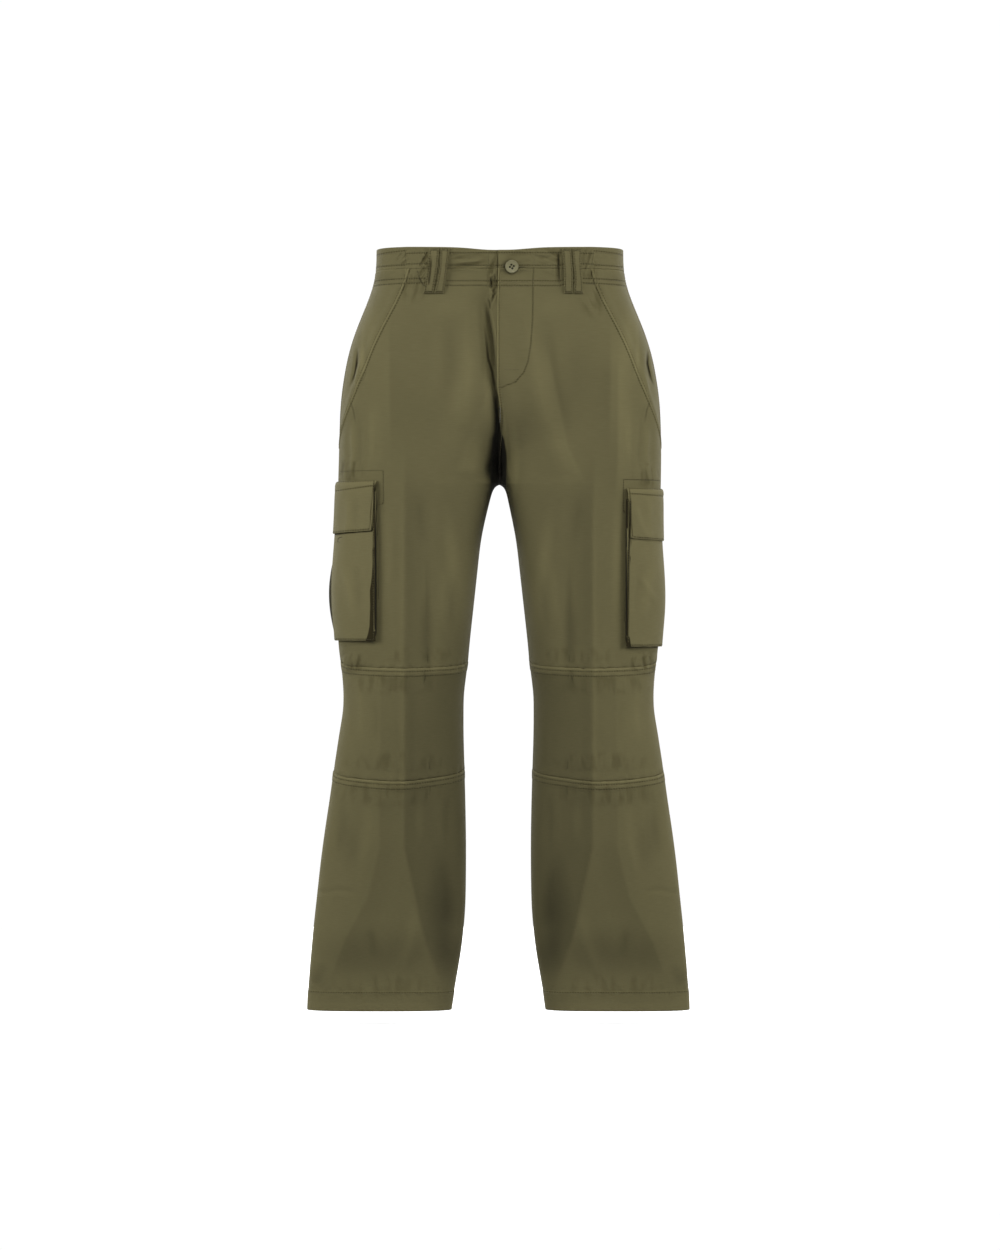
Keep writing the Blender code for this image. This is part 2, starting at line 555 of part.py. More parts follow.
def make_button():
    """Round button with a raised rim and four holes."""
    bm = bmesh.new()
    top = BUTTON_HEIGHT
    rings = ((0.8, 0), (0, 0.9), (0, 2.0), (0.7, top), (2.0, top - 0.1), (2.9, top - 0.8))
    turn = [2 * math.pi * k / 28 for k in range(28)]
    made = [[bm.verts.new(((BUTTON_RADIUS - within) * math.cos(t), (BUTTON_RADIUS - within) * math.sin(t), h))
             for t in turn] for within, h in rings]
    for a, b in zip(made, made[1:]):
        for k in range(28):
            bm.faces.new((a[k], a[(k + 1) % 28], b[(k + 1) % 28], b[k]))
    caps = {}
    for level, ring in ((0.0, made[0]), (top - 0.8, made[-1])):
        edges = [bm.edges.get((ring[k], ring[(k + 1) % 28])) for k in range(28)]
        caps[level] = []
        for cx, cy in ((1, 1), (-1, 1), (-1, -1), (1, -1)):
            hole = [bm.verts.new((cx * HOLE_STEP + HOLE_RADIUS * math.cos(math.pi * k / 5),
                                  cy * HOLE_STEP + HOLE_RADIUS * math.sin(math.pi * k / 5), level))
                    for k in range(10)]
            edges += [bm.edges.new((hole[k], hole[(k + 1) % 10])) for k in range(10)]
            caps[level].append(hole)
        bmesh.ops.triangle_fill(bm, use_beauty=True, use_dissolve=False, edges=edges)
    for low, high in zip(*caps.values()):
        for k in range(10):
            bm.faces.new((low[k], low[(k + 1) % 10], high[(k + 1) % 10], high[k]))
    x, z = BUTTON_AT
    u = u_at(1, "front", x, 0)
    foot = spot(1, u, z, BAND_LIFT + 0.8)
    normal = Vector(spot(1, u, z, 10.0) - spot(1, u, z, 0.0)).normalized()
    turned = normal.to_track_quat("Z", "X").to_matrix()
    for vert in bm.verts:
        vert.co = metres(turned @ vert.co + Vector(foot))
    add_object("button", bm, HORN, 0.45)


for thing in list(bpy.data.objects):
    bpy.data.objects.remove(thing, do_unlink=True)

make_bands()
make_fronts()
make_sides()
make_knees_and_shins()
make_backs()
make_fly_shield()
make_loops()
make_cargo_pockets()
make_button()
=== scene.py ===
import math

import bmesh
import bpy
import numpy as np
from mathutils import Matrix, Vector
from mathutils.bvhtree import BVHTree
from mathutils.kdtree import KDTree


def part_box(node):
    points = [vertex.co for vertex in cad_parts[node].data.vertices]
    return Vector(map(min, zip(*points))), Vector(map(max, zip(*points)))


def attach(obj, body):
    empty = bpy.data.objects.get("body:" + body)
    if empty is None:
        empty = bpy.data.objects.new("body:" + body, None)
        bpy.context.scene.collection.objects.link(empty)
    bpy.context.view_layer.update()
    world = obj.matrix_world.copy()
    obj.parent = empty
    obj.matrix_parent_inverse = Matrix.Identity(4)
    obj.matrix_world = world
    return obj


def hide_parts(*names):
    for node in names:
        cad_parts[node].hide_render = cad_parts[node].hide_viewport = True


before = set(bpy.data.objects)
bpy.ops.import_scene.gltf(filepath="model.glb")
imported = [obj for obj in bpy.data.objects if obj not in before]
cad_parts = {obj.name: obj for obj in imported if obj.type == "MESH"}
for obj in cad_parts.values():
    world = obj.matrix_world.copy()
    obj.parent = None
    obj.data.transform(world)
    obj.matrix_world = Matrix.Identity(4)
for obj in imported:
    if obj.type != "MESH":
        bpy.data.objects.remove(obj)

scene = bpy.context.scene
mm = 0.001
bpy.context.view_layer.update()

cloth = {                       # one rule for every panel; lengths in mm, angles in degrees
    "levels": 3,                # subdivision, for faces of 2.5 to 3 mm
    "wall": 1.5, "hemWall": 2.6, "rimRound": 0.35,
    "skinBend": 52, "foldBend": 85, "foldFace": 1.9,    # what still belongs to the outside
    "corner": 32, "sharp": 50, "rimBend": 60,
    "edgeDip": (2.6, 0.5),      # reach and depth of the rolled edge at a seam
    "pucker": (14.0, 0.8),      # reach and height of the gathers beside a seam
    "undulation": 0.55,         # slow unevenness of the cloth
    "turning": 0.25,            # how far cloth faces front or back where its folds are full
    # the darkest painted shade
    "darkest": -0.93,
    "seed": 11,
}
middle = {                      # the wearer's left half of the hollow's middle line, metres
    "trunk": (0, 0.008, 0.03), "fork": (0, 0.008, -0.225),
    "thigh": (0.118, 0.008, -0.39), "hem": (0.165, 0.012, -1.03),
}

def awayFrom(points, side):
    # unit directions out of the hollow's middle line
    ends = [np.array(spot) * ((side or 1), 1, 1) for spot in middle.values()][:None if side else 2]
    outs = []
    for a, b in zip(ends, ends[1:]):
        t = np.clip((points - a) @ (b - a) / ((b - a) @ (b - a)), 0, 1)
        outs.append(points - (a + t[:, None] * (b - a)))
    outs = np.array(outs)
    reach = np.linalg.norm(outs, axis=2)
    nearest = reach.argmin(0), np.arange(len(points))
    return outs[nearest] / reach[nearest][:, None]

def outerSkin(node, side):
    # the outside of a cloth solid as clean quads
    bm = bmesh.new()
    bm.from_mesh(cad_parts[node].data)
    bmesh.ops.remove_doubles(bm, verts=bm.verts, dist=2e-5)
    bm.normal_update()
    bm.faces.ensure_lookup_table()
    out = awayFrom(np.array([f.calc_center_median()[:] for f in bm.faces]), side)
    facing = [f.normal.dot(Vector(o)) * f.calc_area() for f, o in zip(bm.faces, out)]
    skin = {bm.faces[int(np.argmax(facing))]}
    ahead = list(skin)
    folded = node.startswith(("front_", "back_"))
    while ahead:
        for e in ahead.pop().edges:
            bend = math.degrees(e.calc_face_angle(0)) if len(e.link_faces) == 2 else 180
            for f in e.link_faces:
                broad = min(s.calc_length() for s in f.edges) > cloth["foldFace"] * mm
                if f not in skin and (bend < cloth["skinBend"]
                                      or folded and bend < cloth["foldBend"] and broad):
                    skin.add(f)
                    ahead.append(f)
    outside = {v for f in skin for v in f.verts}
    drop = [f for f in bm.faces if f not in skin and not (folded and all(v in outside for v in f.verts))]
    bmesh.ops.delete(bm, geom=drop, context="FACES")
    for sharpest in (35, 60, 180):
        bmesh.ops.join_triangles(bm, faces=bm.faces, angle_face_threshold=math.pi,
                                 angle_shape_threshold=math.radians(sharpest))
    corner = bm.verts.layers.float.new("crease_vert")       # a panel's corners stay sharp
    for v in bm.verts:
        ends = [e.other_vert(v).co - v.co for e in v.link_edges if e.is_boundary]
        if len(ends) == 2 and ends[0].angle(-ends[1], 0) > math.radians(cloth["corner"]):
            v[corner] = 1.0
    print(node, "faces", len(bm.faces), "three-sided", sum(len(f.verts) == 3 for f in bm.faces))
    return bm

def newObject(name, data):
    obj = bpy.data.objects.new(name, data)
    scene.collection.objects.link(obj)
    return obj

def meshObject(name, bm):
    mesh = bpy.data.meshes.new(name)
    bm.to_mesh(mesh)
    bm.free()
    return newObject(name, mesh)

def bake(obj):
    # the modifiers' result becomes the mesh
    dg = bpy.context.evaluated_depsgraph_get()
    dg.update()
    mesh = bpy.data.meshes.new_from_object(obj.evaluated_get(dg))
    obj.modifiers.clear()
    old, obj.data = obj.data, mesh
    bpy.data.meshes.remove(old)
    return mesh

def refine(obj, levels):
    finer = obj.modifiers.new("finer", "SUBSURF")
    finer.levels = finer.render_levels = levels
    finer.boundary_smooth = "PRESERVE_CORNERS"
    return bake(obj)

def soften(obj, angle=cloth["sharp"]):
    obj.data.shade_smooth()
    obj.data.set_sharp_from_angle(angle=math.radians(angle))

def addLayer(mesh, word, values):
    # numbers or vectors at the points, for the finish
    kind, key = ("FLOAT_VECTOR", "vector") if values.ndim > 1 else ("FLOAT", "value")
    layer = mesh.attributes.new(word, kind, "POINT")
    layer.data.foreach_set(key, values.astype(np.float32).ravel())

def addWeave(mesh, flat):
    uv = mesh.uv_layers.new(name="weave")
    ids = np.zeros(len(mesh.loops), int)
    mesh.loops.foreach_get("vertex_index", ids)
    uv.data.foreach_set("uv", flat[ids].astype(np.float32).ravel())

def enter(obj, node=None):
    if node:
        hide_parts(node)
    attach(obj, "root")

def treeOf(spots):
    tree = KDTree(len(spots))
    for k, spot in enumerate(spots):
        tree.insert(spot, k)
    tree.balance()
    return tree

def smoothStep(t):
    t = np.clip(t, 0, 1)
    return t * t * (3 - 2 * t)

def middleX(z):
    # the body leans a little to the wearer's left above the legs, mm
    return 2.2 * smoothStep((z + 380) / 150)

# creases, in mm: legs, face, half width, height, fade at both ends, points (x away from centre, z)
creases = (
    ("both", "front", 7, 1.5, (0.25, 0.2), ((129, -285), (129, -420), (129, -560), (129, -690), (127, -800))),
    ("both", "front", 4, -1.2, (0.4, 0.5), ((98, -388), (98, -460), (97, -529))),
    ("both", "front", 3, -1.2, (0.5, 0.0), ((98, -518), (98, -546))),
    ("both", "front", 3, -1.2, (0.0, 0.6), ((101, -560), (102, -580))),
    ("both", "front", 3, -1.2, (0.6, 0.0), ((93, -668), (94, -694))),
    ("both", "front", 13, -1.7, (0.4, 0.5), ((77, -812), (71, -868), (67, -932))),
    ("both", "front", 10, -1.6, (0.4, 0.4), ((177, -908), (170, -962))),
    ("both", "front", 14, -1.6, (0.4, 0.2), ((236, -958), (256, -994))),
    ("both", "front", 4, -1.0, (0.3, 0.1), ((192, -862), (220, -858), (250, -864))),
    ("right", "front", 3, -2.0, (0.25, 0.3), ((197, -112), (197, -135), (204, -168))),
    ("right", "front", 5, 1.3, (0.3, 0.3), ((190, -108), (190, -140), (198, -182))),
    ("left", "front", 3, -2.0, (0.25, 0.3), ((203.6, -112), (202.6, -136), (209, -166))),
    ("left", "front", 5, 1.2, (0.3, 0.3), ((195, -108), (195, -140), (203, -182))),
    ("right", "front", 3.5, -3.0, (0.2, 0.3), ((20, -50), (12, -98), (4, -170))),
    ("right", "front", 2.6, 1.7, (0.2, 0.2), ((3, -12), (13, -20), (4, -30), (12, -40), (3, -50))),
    ("right", "front", 2.6, -1.8, (0.2, 0.2), ((9, -8), (12, -28), (7, -44), (13, -60))),
    ("left", "front", 3, -2.0, (0.2, 0.3), ((80, 16), (79, -32))),
    ("left", "front", 16, 2.4, (0.4, 0.5), ((34, -60), (52, -170), (72, -250), (98, -330))),
    ("left", "front", 13, -1.8, (0.4, 0.5), ((58, -60), (74, -170), (96, -260))),
    ("right", "front", 18, 1.8, (0.4, 0.5), ((46, -55), (44, -160), (52, -260))),
    ("right", "front", 14, -1.4, (0.4, 0.5), ((70, -60), (66, -150), (78, -240))),
    ("right", "front", (4, 9), (-2.5, -5.0), (0.15, 0.3), ((19, -58), (11, -110), (7, -185), (6, -230))),
    ("right", "front", (8, 30), (-3.0, -15.0), (0.1, 0.16), ((0, -170), (0, -240), (0, -301))),
    ("left", "front", (3, 8), (-2.5, -12.0), (0.25, 0.16), ((0, -192), (0, -240), (0, -301))),
    # hips, thighs and pockets
    ("both", "front", 5, 1.6, (0.3, 0.4), ((203, -214), (200, -260), (204, -300))),
    ("both", "front", 4, -1.2, (0.3, 0.4), ((193, -208), (190, -262), (193, -296))),
    ("both", "front", 5, 1.1, (0.4, 0.4), ((176, -196), (174, -250), (178, -292))),
    ("both", "front", 7, 1.2, (0.3, 0.3), ((206, -318), (206, -350), (210, -384))),
    ("right", "front", 6, -1.0, (0.3, 0.3), ((196, -322), (195, -352), (193, -380))),
    ("left", "front", 7, 1.4, (0.2, 0.3), ((186, -330), (196, -360), (212, -386))),
    ("both", "front", 9, 1.3, (0.3, 0.4), ((214, -410), (204, -452), (196, -498))),
    ("both", "front", 8, -1.1, (0.3, 0.4), ((198, -402), (190, -446), (188, -490))),
    ("left", "front", 6, 1.2, (0.3, 0.3), ((190, -420), (206, -448), (222, -466))),
    ("both", "front", 12, -1.6, (0.4, 0.4), ((112, -310), (106, -360), (100, -402))),
    ("both", "front", 10, 1.3, (0.4, 0.4), ((70, -400), (78, -450), (84, -512))),
    ("both", "front", 9, -1.3, (0.4, 0.4), ((60, -420), (64, -470), (70, -520))),
    ("right", "front", 9, 1.0, (0.4, 0.4), ((150, -330), (148, -400), (150, -470))),
    ("both", "front", 8, 1.3, (0.4, 0.4), ((196, -568), (188, -610), (190, -668))),
    ("both", "front", 10, -1.3, (0.4, 0.4), ((172, -580), (166, -620), (168, -670))),
    ("both", "front", 7, -1.2, (0.3, 0.5), ((70, -720), (74, -760), (72, -820))),
    ("both", "front", 9, 1.2, (0.4, 0.4), ((176, -730), (180, -790), (190, -850))),
    ("both", "front", 10, -1.5, (0.4, 0.4), ((214, -726), (214, -770), (222, -826))),
    ("both", "front", 12, 1.4, (0.4, 0.4), ((112, -880), (120, -930), (140, -985))),
    # band gathers
    ("right", "front", 2.2, 1.3, (0.3, 0.3), ((107, 13), (97, 3))),
    ("right", "front", 2.2, 1.3, (0.3, 0.3), ((108, 3), (98, -10))),
    ("right", "front", 2.2, 1.2, (0.3, 0.3), ((109, -7), (100, -20))),
    ("right", "front", 2.2, 1.2, (0.3, 0.3), ((108, -17), (102, -31))),
    ("right", "front", 2.4, -1.2, (0.3, 0.3), ((107, 8), (96, -4))),
    ("right", "front", 2.4, -1.2, (0.3, 0.3), ((109, -2), (99, -15))),
    ("right", "front", 3.5, -0.9, (0.3, 0.3), ((24, 8), (46, 3), (66, 5))),
    ("right", "front", 3.5, -0.8, (0.3, 0.3), ((18, -3), (38, -6), (60, -3))),
    ("left", "front", 3.5, -0.9, (0.3, 0.3), ((44, 9), (60, 5), (76, 8))),
    # behind
    ("both", "back", 9, -2.4, (0.4, 0.4), ((40, -304), (90, -318), (150, -352))),
    ("both", "back", 8, -1.8, (0.4, 0.4), ((62, -352), (110, -372), (168, -424))),
    ("both", "back", 7, -2.2, (0.35, 0.4), ((64, -588), (120, -600), (186, -572))),
    ("both", "back", 7, -2.2, (0.35, 0.4), ((70, -630), (130, -650), (196, -622))),
    ("both", "back", 6, -1.6, (0.4, 0.4), ((90, -606), (136, -622), (172, -604))),
    ("both", "back", 7, 1.5, (0.25, 0.3), ((128, -330), (130, -520), (128, -700), (124, -880))),
    ("both", "back", 15, -1.7, (0.4, 0.4), ((84, -810), (86, -916))),
    ("both", "back", 15, -1.7, (0.4, 0.3), ((194, -880), (206, -980))),
    ("left", "back", 8, -1.6, (0.4, 0.4), ((40, -60), (58, -130), (64, -200))),
    ("right", "back", 8, -1.6, (0.4, 0.4), ((52, -66), (60, -150), (58, -215))),
)

rng = np.random.default_rng(cloth["seed"])
waves = [(rng.normal(size=3) / np.array([0.05, 0.07, 0.085]), rng.uniform(0, 6.3), rng.uniform(0.4, 1))
         for _ in range(9)]

def undulate(points):
    total = np.zeros(len(points))
    for k, phase, size in waves:
        total += size * np.sin(points @ k + phase)
    return total / 3.2 * cloth["undulation"]

def legPlane(points, side):
    # distance from the centre and height of each point, mm
    x, z = points[:, 0] / mm, points[:, 2] / mm
    return np.stack([(x - middleX(z)) * side, z], 1)

def onLeg(where, side):
    return where == "both" or (where == "left") == (side > 0)

def facing(face, normals):
    return smoothStep((-normals[:, 1] if face == "front" else normals[:, 1]) / cloth["turning"])

def between(pair, at):
    return pair[0] + (pair[1] - pair[0]) * at if isinstance(pair, tuple) else pair

def fadeEnds(at, fades):
    rising, falling = [smoothStep(t / size) if size else 1 for t, size in zip((at, 1 - at), fades)]
    return rising * falling

def alongLine(p, line):
    # distance from a line of points, with its side as sign, and the share of the way along it
    knots = np.array(line, float)
    runs = np.diff(knots, axis=0)
    sizes = np.linalg.norm(runs, axis=1)
    best, at, done = np.full(len(p), 1e9), np.zeros(len(p)), 0
    for a, run, size in zip(knots, runs, sizes):
        t = np.clip((p - a) @ run / (run @ run), 0, 1)
        gap = p - (a + t[:, None] * run)
        off = np.hypot(*gap.T) * np.where(run[0] * gap[:, 1] - run[1] * gap[:, 0] < 0, -1, 1)
        closer = np.abs(off) < np.abs(best)
        best, at = np.where(closer, off, best), np.where(closer, (done + t * size) / sizes.sum(), at)
        done += size
    return best, at

def leaning(p, centre, lean):
    # coordinates round a centre, turned by degrees
    c, n = math.cos(math.radians(lean)), math.sin(math.radians(lean))
    x, z = (p - centre).T
    return x * c + z * n, z * c - x * n

def creaseHeights(points, normals, side):
    # sum of the soft troughs and ridges at each point, mm
    p, total = legPlane(points, side), np.zeros(len(points))
    for where, face, half, height, fades, line in creases:
        if onLeg(where, side):
            off, at = alongLine(p, line)
            d = np.abs(off) / between(half, at)
            bump = 0.5 + 0.5 * np.cos(np.pi * np.clip(d, 0, 1))
            lobe = np.sin(np.pi * (np.clip(d, 0.8, 2.4) - 0.8) / 1.6) ** 2
            share = facing(face, normals) * fadeEnds(at, fades)
            total += between(height, at) * share * (bump - 0.22 * lobe)
    return total

# painted light and shade: slow steps in tone along lines: legs, face, fades, towards the centre
# and away from it (change, reach in mm), points
paintedBands = (
    ("both", "front", (0.45, 0.4), (-0.05, 70), (0.10, 44), ((151, -50), (151, -160), (149, -290))),
    ("both", "front", (0.4, 0.0), (-0.19, 40), (0.06, 60), ((129, -230), (129, -420), (130, -560))),
    ("both", "front", (0.0, 0.3), (-0.26, 150), (0.0, 20), ((129, -560), (129, -690), (129, -800),
                                                            (104, -915), (84, -985))),
    ("both", "front", (0.4, 0.3), (-0.10, 60), (0.0, 60), ((130, -840), (100, -930), (70, -1010))),
    ("both", "front", (0.0, 0.3), (-0.04, 34), (0.08, 60), ((161, -560), (162, -690))),
    ("both", "front", (0.1, 0.1), (-0.08, 34), (0.06, 50), ((163, -715), (163, -800), (180, -870),
                                                            (212, -930), (232, -985))),
    ("left", "front", (0.2, 0.2), (0.14, 18), (0.02, 14), ((62, -104), (92, -250), (122, -310))),
    ("left", "front", (0.2, 0.2), (-0.12, 60), (0.06, 20), ((161, -120), (161, -250), (160, -330))),
    ("right", "front", (0.3, 0.3), (0.10, 16), (0.08, 26), ((42, -100), (44, -180), (44, -260))),
    ("both", "front", (0.1, 0.3), (0.10, 5), (0.10, 4), ((188, -76), (190, -130), (200, -190), (216, -222))),
    ("both", "back", (0.3, 0.3), (-0.06, 60), (0.05, 60), ((128, -300), (130, -520), (128, -700), (124, -900))),
)

# painted light and shade in rounder patches, lighter or darker than the rest: legs, face, change, centre,
# reach, lean in degrees
pools = (
    ("both", "front", -0.24, (98, -512), (13, 84), 0),
    ("both", "front", -0.20, (80, -870), (28, 104), 6),
    ("both", "front", -0.14, (72, -900), (22, 60), 8),
    ("both", "front", -0.25, (160, -946), (150, 50), 0),
    ("both", "front", -0.16, (70, -950), (26, 46), 0),
    ("both", "front", -0.14, (250, -985), (34, 26), 0),
    ("both", "front", -0.13, (206, -790), (22, 56), -6),
    ("both", "front", 0.10, (178, -92), (16, 56), -6),
    ("both", "front", 0.24, (187, -134), (6, 34), -4),
    ("right", "front", 0.15, (60, -210), (34, 76), 0),
    ("both", "front", 0.11, (172, -236), (18, 74), 0),
    ("right", "front", 0.10, (204, -245), (7, 44), 0),
    ("left", "front", 0.50, (18, -274), (13, 66), 0),
    ("left", "front", 0.13, (170, -140), (26, 100), -8),
    ("left", "front", 0.22, (163, -412), (12, 128), 0),
    ("right", "front", 0.10, (160, -412), (12, 120), 0),
    ("both", "front", 0.16, (64, -395), (14, 84), -6),
    ("left", "front", -0.10, (40, -440), (22, 84), -6),
    ("both", "front", 0.08, (74, -60), (44, 26), 0),
    ("left", "front", -0.12, (96, -166), (40, 90), -12),
    ("both", "front", 0.12, (108, -760), (10, 44), 0),
    # painted shadow under the button
    ("left", "front", -1.1, (13.4, -6.6), (14, 14), 0),     # under the button
)

# the painted shade in the fold at the fork of the legs: right and left edges of its dark core over z, mm
fork = {
    "z": (-172, -190, -212, -232, -242, -262, -303),
    "right": (-4, -3.2, -2.2, 0.5, 5, 8.5, 8.5), "left": (-9, -7, -6, -6, -9, -10, -11),
    "depth": (0, 0.5, 0.7, 0.85, 0.97, 1, 1), "soft": 9,
}

def forkEdges(z):
    return [np.interp(-z, [-v for v in fork["z"]], fork[k]) for k in ("right", "left", "depth")]

def forkShade(x, z):
    right, left, depth = forkEdges(z)
    soft = np.where(x > left, 1, 0.55 * np.clip(1 - (left - x) / fork["soft"], 0, 1) ** 1.3)
    return cloth["darkest"] * depth * smoothStep((right + 1 - x) / 2) * soft

def tones(points, normals, side):
    # painted light and shade: how much lighter or darker the cloth is drawn
    p, total = legPlane(points, side), np.zeros(len(points))
    for where, face, fades, inner, outer, line in paintedBands:
        if onLeg(where, side):
            d = alongLine(p, line)[0]           # positive away from the centre
            at = (line[0][1] - p[:, 1]) / (line[0][1] - line[-1][1])
            step = smoothStep(0.5 + d / 5)
            change = ((1 - step) * inner[0] * np.clip(1 + d / inner[1], 0, 1)
                      + step * outer[0] * np.clip(1 - d / outer[1], 0, 1))
            total += facing(face, normals) * fadeEnds(at, fades) * ((at >= 0) & (at <= 1)) * change
    for where, face, change, centre, reach, lean in pools:
        if onLeg(where, side):
            x, z = leaning(p, centre, lean)
            total += facing(face, normals) * change * smoothStep(1 - np.hypot(x / reach[0], z / reach[1]))
    inwards = -normals[:, 0] * side             # the inner leg turns away from the light
    total -= 0.24 * smoothStep((inwards - 0.2) / 0.6) * smoothStep((-p[:, 1] - 420) / 120)
    return total + np.where(normals[:, 1] < 0, forkShade(p[:, 0] * side, p[:, 1]), 0)

# painted shadow in slits where the cloth parts or folds under: legs, half width, depth, fades at both ends,
# points (x away from centre, z), mm
slits = (
    ("right", 1.6, 1.0, (0.4, 0.5), ((196.2, -112), (195.8, -123), (197.1, -138.6), (198.9, -149.6),
                                      (204.1, -162), (209, -173))),
    ("left", 1.6, 1.0, (0.4, 0.5), ((203.6, -112), (202.4, -136), (207.5, -157), (215, -172))),
    ("right", (1.6, 2.4), 0.85, (0.5, 0.25), ((22.8, -72), (19.3, -97), (15.9, -132), (10.4, -150), (6.9, -172),
                                              (5.2, -192))),
    ("right", 1.6, 0.75, (0.1, 0.15), ((2.2, 16), (2.4, -30), (2.8, -90), (3.2, -146))),
    ("right", 1.3, 0.6, (0.3, 0.4), ((14.2, -18), (12.0, -28), (11.6, -40))),
    ("right", 1.5, 0.6, (0.4, 0.3), ((17.4, -48), (14.2, -55), (13.4, -66))),
    ("right", 1.2, 0.5, (0.4, 0.4), ((8.2, -12), (7.0, -24), (9.4, -38))),
    ("left", 1.5, 0.6, (0.2, 0.3), ((79, 14), (80, -4), (82, -34))),
    ("right", 1.5, 0.75, (0.3, 0.2), ((93.5, 10), (94.5, -8), (97.5, -34))),
    ("both", 0.8, 0.3, (0.6, 0.1), ((96.6, -532), (97.2, -547))),
    ("both", 0.8, 0.35, (0.1, 0.6), ((99.6, -562), (102.8, -577))),
    ("both", 0.8, 0.25, (0.6, 0.1), ((95.6, -676), (94.6, -694))),
    ("both", 0.8, 0.25, (0.1, 0.6), ((93.6, -714), (95, -732))),
    ("right", 1.5, 1.0, (0.06, 0.05), ((170.6, -296), (170.2, -330), (168.6, -380), (168.0, -440),
                                        (168.0, -512))),
    ("left", 1.5, 1.0, (0.06, 0.05), ((179, -318), (180, -356), (177.4, -400), (176.8, -450), (176.0, -520))),
    ("right", 1.0, 0.6, (0.3, 0.4), ((220, -374), (221, -383))),
    ("left", 0.8, 1.0, (0.1, 0.1), ((3.6, -6.6), (27, -6.6))),
    ("both", 1.4, 0.35, (0.4, 0.4), ((208, -182), (201, -200), (197, -222))),
)

def slitField(points, normals, side):
    # signed distance to the nearest slit in half widths, and how strong the slit is there
    p, front = legPlane(points, side), smoothStep((-normals[:, 1] - 0.1) / 0.25)
    near, strong = np.full(len(p), 9.0), np.zeros(len(p))
    for where, half, depth, fades, line in slits:
        if onLeg(where, side):
            d, at = alongLine(p, line)
            force = depth * front * smoothStep(1.6 * (1 - np.abs(d) / 6)) * fadeEnds(at, fades)
            near = np.where(force > strong, d / between(half, at), near)
            strong = np.maximum(force, strong)
    return np.stack([np.clip(near, -9, 9), strong, np.zeros(len(p))], 1)

# patches of small wrinkles: legs, face, centre, reach, pitch and length of a wrinkle, lean of the
# wrinkles from upright in degrees, height
shirred = (
    ("right", "front", (103, -6), (12, 34), 5.0, 26, 34, 1.0),
    ("right", "front", (134, 6), (10, 16), 4.5, 18, 52, 0.7),
    ("right", "front", (44, 0), (40, 18), 6.5, 44, 84, 0.8),
    ("right", "front", (9, -22), (12, 46), 6.0, 22, 24, 0.9),
    ("left", "front", (70, 2), (22, 24), 7.0, 34, 70, 0.8),
    ("left", "front", (26, 6), (24, 14), 7.0, 40, 86, 0.45),
    ("left", "front", (122, -4), (14, 34), 5.5, 26, -24, 0.8),
    ("right", "front", (118, -34), (24, 28), 6.5, 26, 20, 0.5),
    ("left", "front", (126, -50), (22, 30), 7.5, 30, 24, 0.6),
    ("right", "front", (206, -282), (26, 22), 7.0, 26, 4, 0.7),
    ("left", "front", (204, -290), (26, 22), 7.0, 26, 4, 0.7),
    ("both", "front", (204, -546), (34, 18), 8.0, 26, 6, 0.9),
    ("both", "front", (110, -536), (70, 16), 9.0, 30, 0, 0.4),
    ("both", "front", (150, -576), (90, 18), 9.0, 30, 4, 0.4),
    ("both", "front", (140, -682), (90, 18), 9.0, 30, 0, 0.4),
    ("both", "front", (150, -726), (96, 22), 9.0, 34, 4, 0.45),
    ("both", "front", (160, -990), (90, 22), 12.0, 38, 0, 0.35),
    ("both", "back", (60, -30), (70, 26), 8.0, 34, 0, 0.4),
    ("both", "back", (24, -246), (26, 74), 9.0, 34, 60, 0.32),
    ("both", "back", (130, -608), (76, 64), 12.0, 64, 84, 0.36),
    ("both", "back", (160, -990), (90, 22), 12.0, 38, 0, 0.4),
    ("both", "back", (150, 4), (40, 20), 6.0, 26, 40, 0.7),
)

def shirrField(points, normals, side):
    # coordinates across and along the wrinkles, and their height
    p, field = legPlane(points, side), np.zeros((len(points), 3))
    for k, (where, face, centre, reach, pitch, length, lean, height) in enumerate(shirred):
        if onLeg(where, side):
            inside = smoothStep(1.5 * (1 - np.hypot(*((p - centre) / reach).T)))
            force = facing(face, normals) * height * inside
            x, z = leaning(p, centre, lean)
            mine = np.stack([x / pitch + 7 * k + 40 * (side > 0), z / length + 3 * k, force], 1)
            field = np.where((force > field[:, 2])[:, None], mine, field)
    return field

def legX(z):
    # x of the line that parts a leg's inner and outer edges, mm
    return np.interp(-z, (0, 250, 300, 400, 1030), (62, 84, 100, 116, 165))

def edgeKind(a, b):
    # which edge of its panel a boundary edge belongs to
    a, b = a / mm, b / mm
    mid = (a + b) / 2
    flat = abs(b[2] - a[2]) < 0.55 * (b - a).length
    if flat:
        for name, low, high in (("top", -12, 30), ("kneeTop", -560, -540),
                                ("kneeFoot", -715, -688), ("hem", -1030, -1020)):
            if low < mid.z < high:
                return name
    return "outer" if abs(mid.x) > legX(mid.z) else "inner"

fly = {                         # x and z of the fly's stitching, mm
    "curve": ((52.3, 15), (48.4, 0), (46.9, -35), (46.6, -75), (44, -112), (40.7, -135), (34.5, -151),
              (23, -164), (8, -169.5)),
    "bar": ((8.5, -147), (28, -147)),
}
pocketOutline = {               # stitching of the layer behind each pocket's upper corner, x and z, mm
    "right": ((-216, -284), (-157, -284), (-157, -330), (-170, -330)),
    "left": ((221, -296), (170.5, -296), (170.5, -341), (176, -341)),
}
farOff = 9.0                    # mm, no row this near

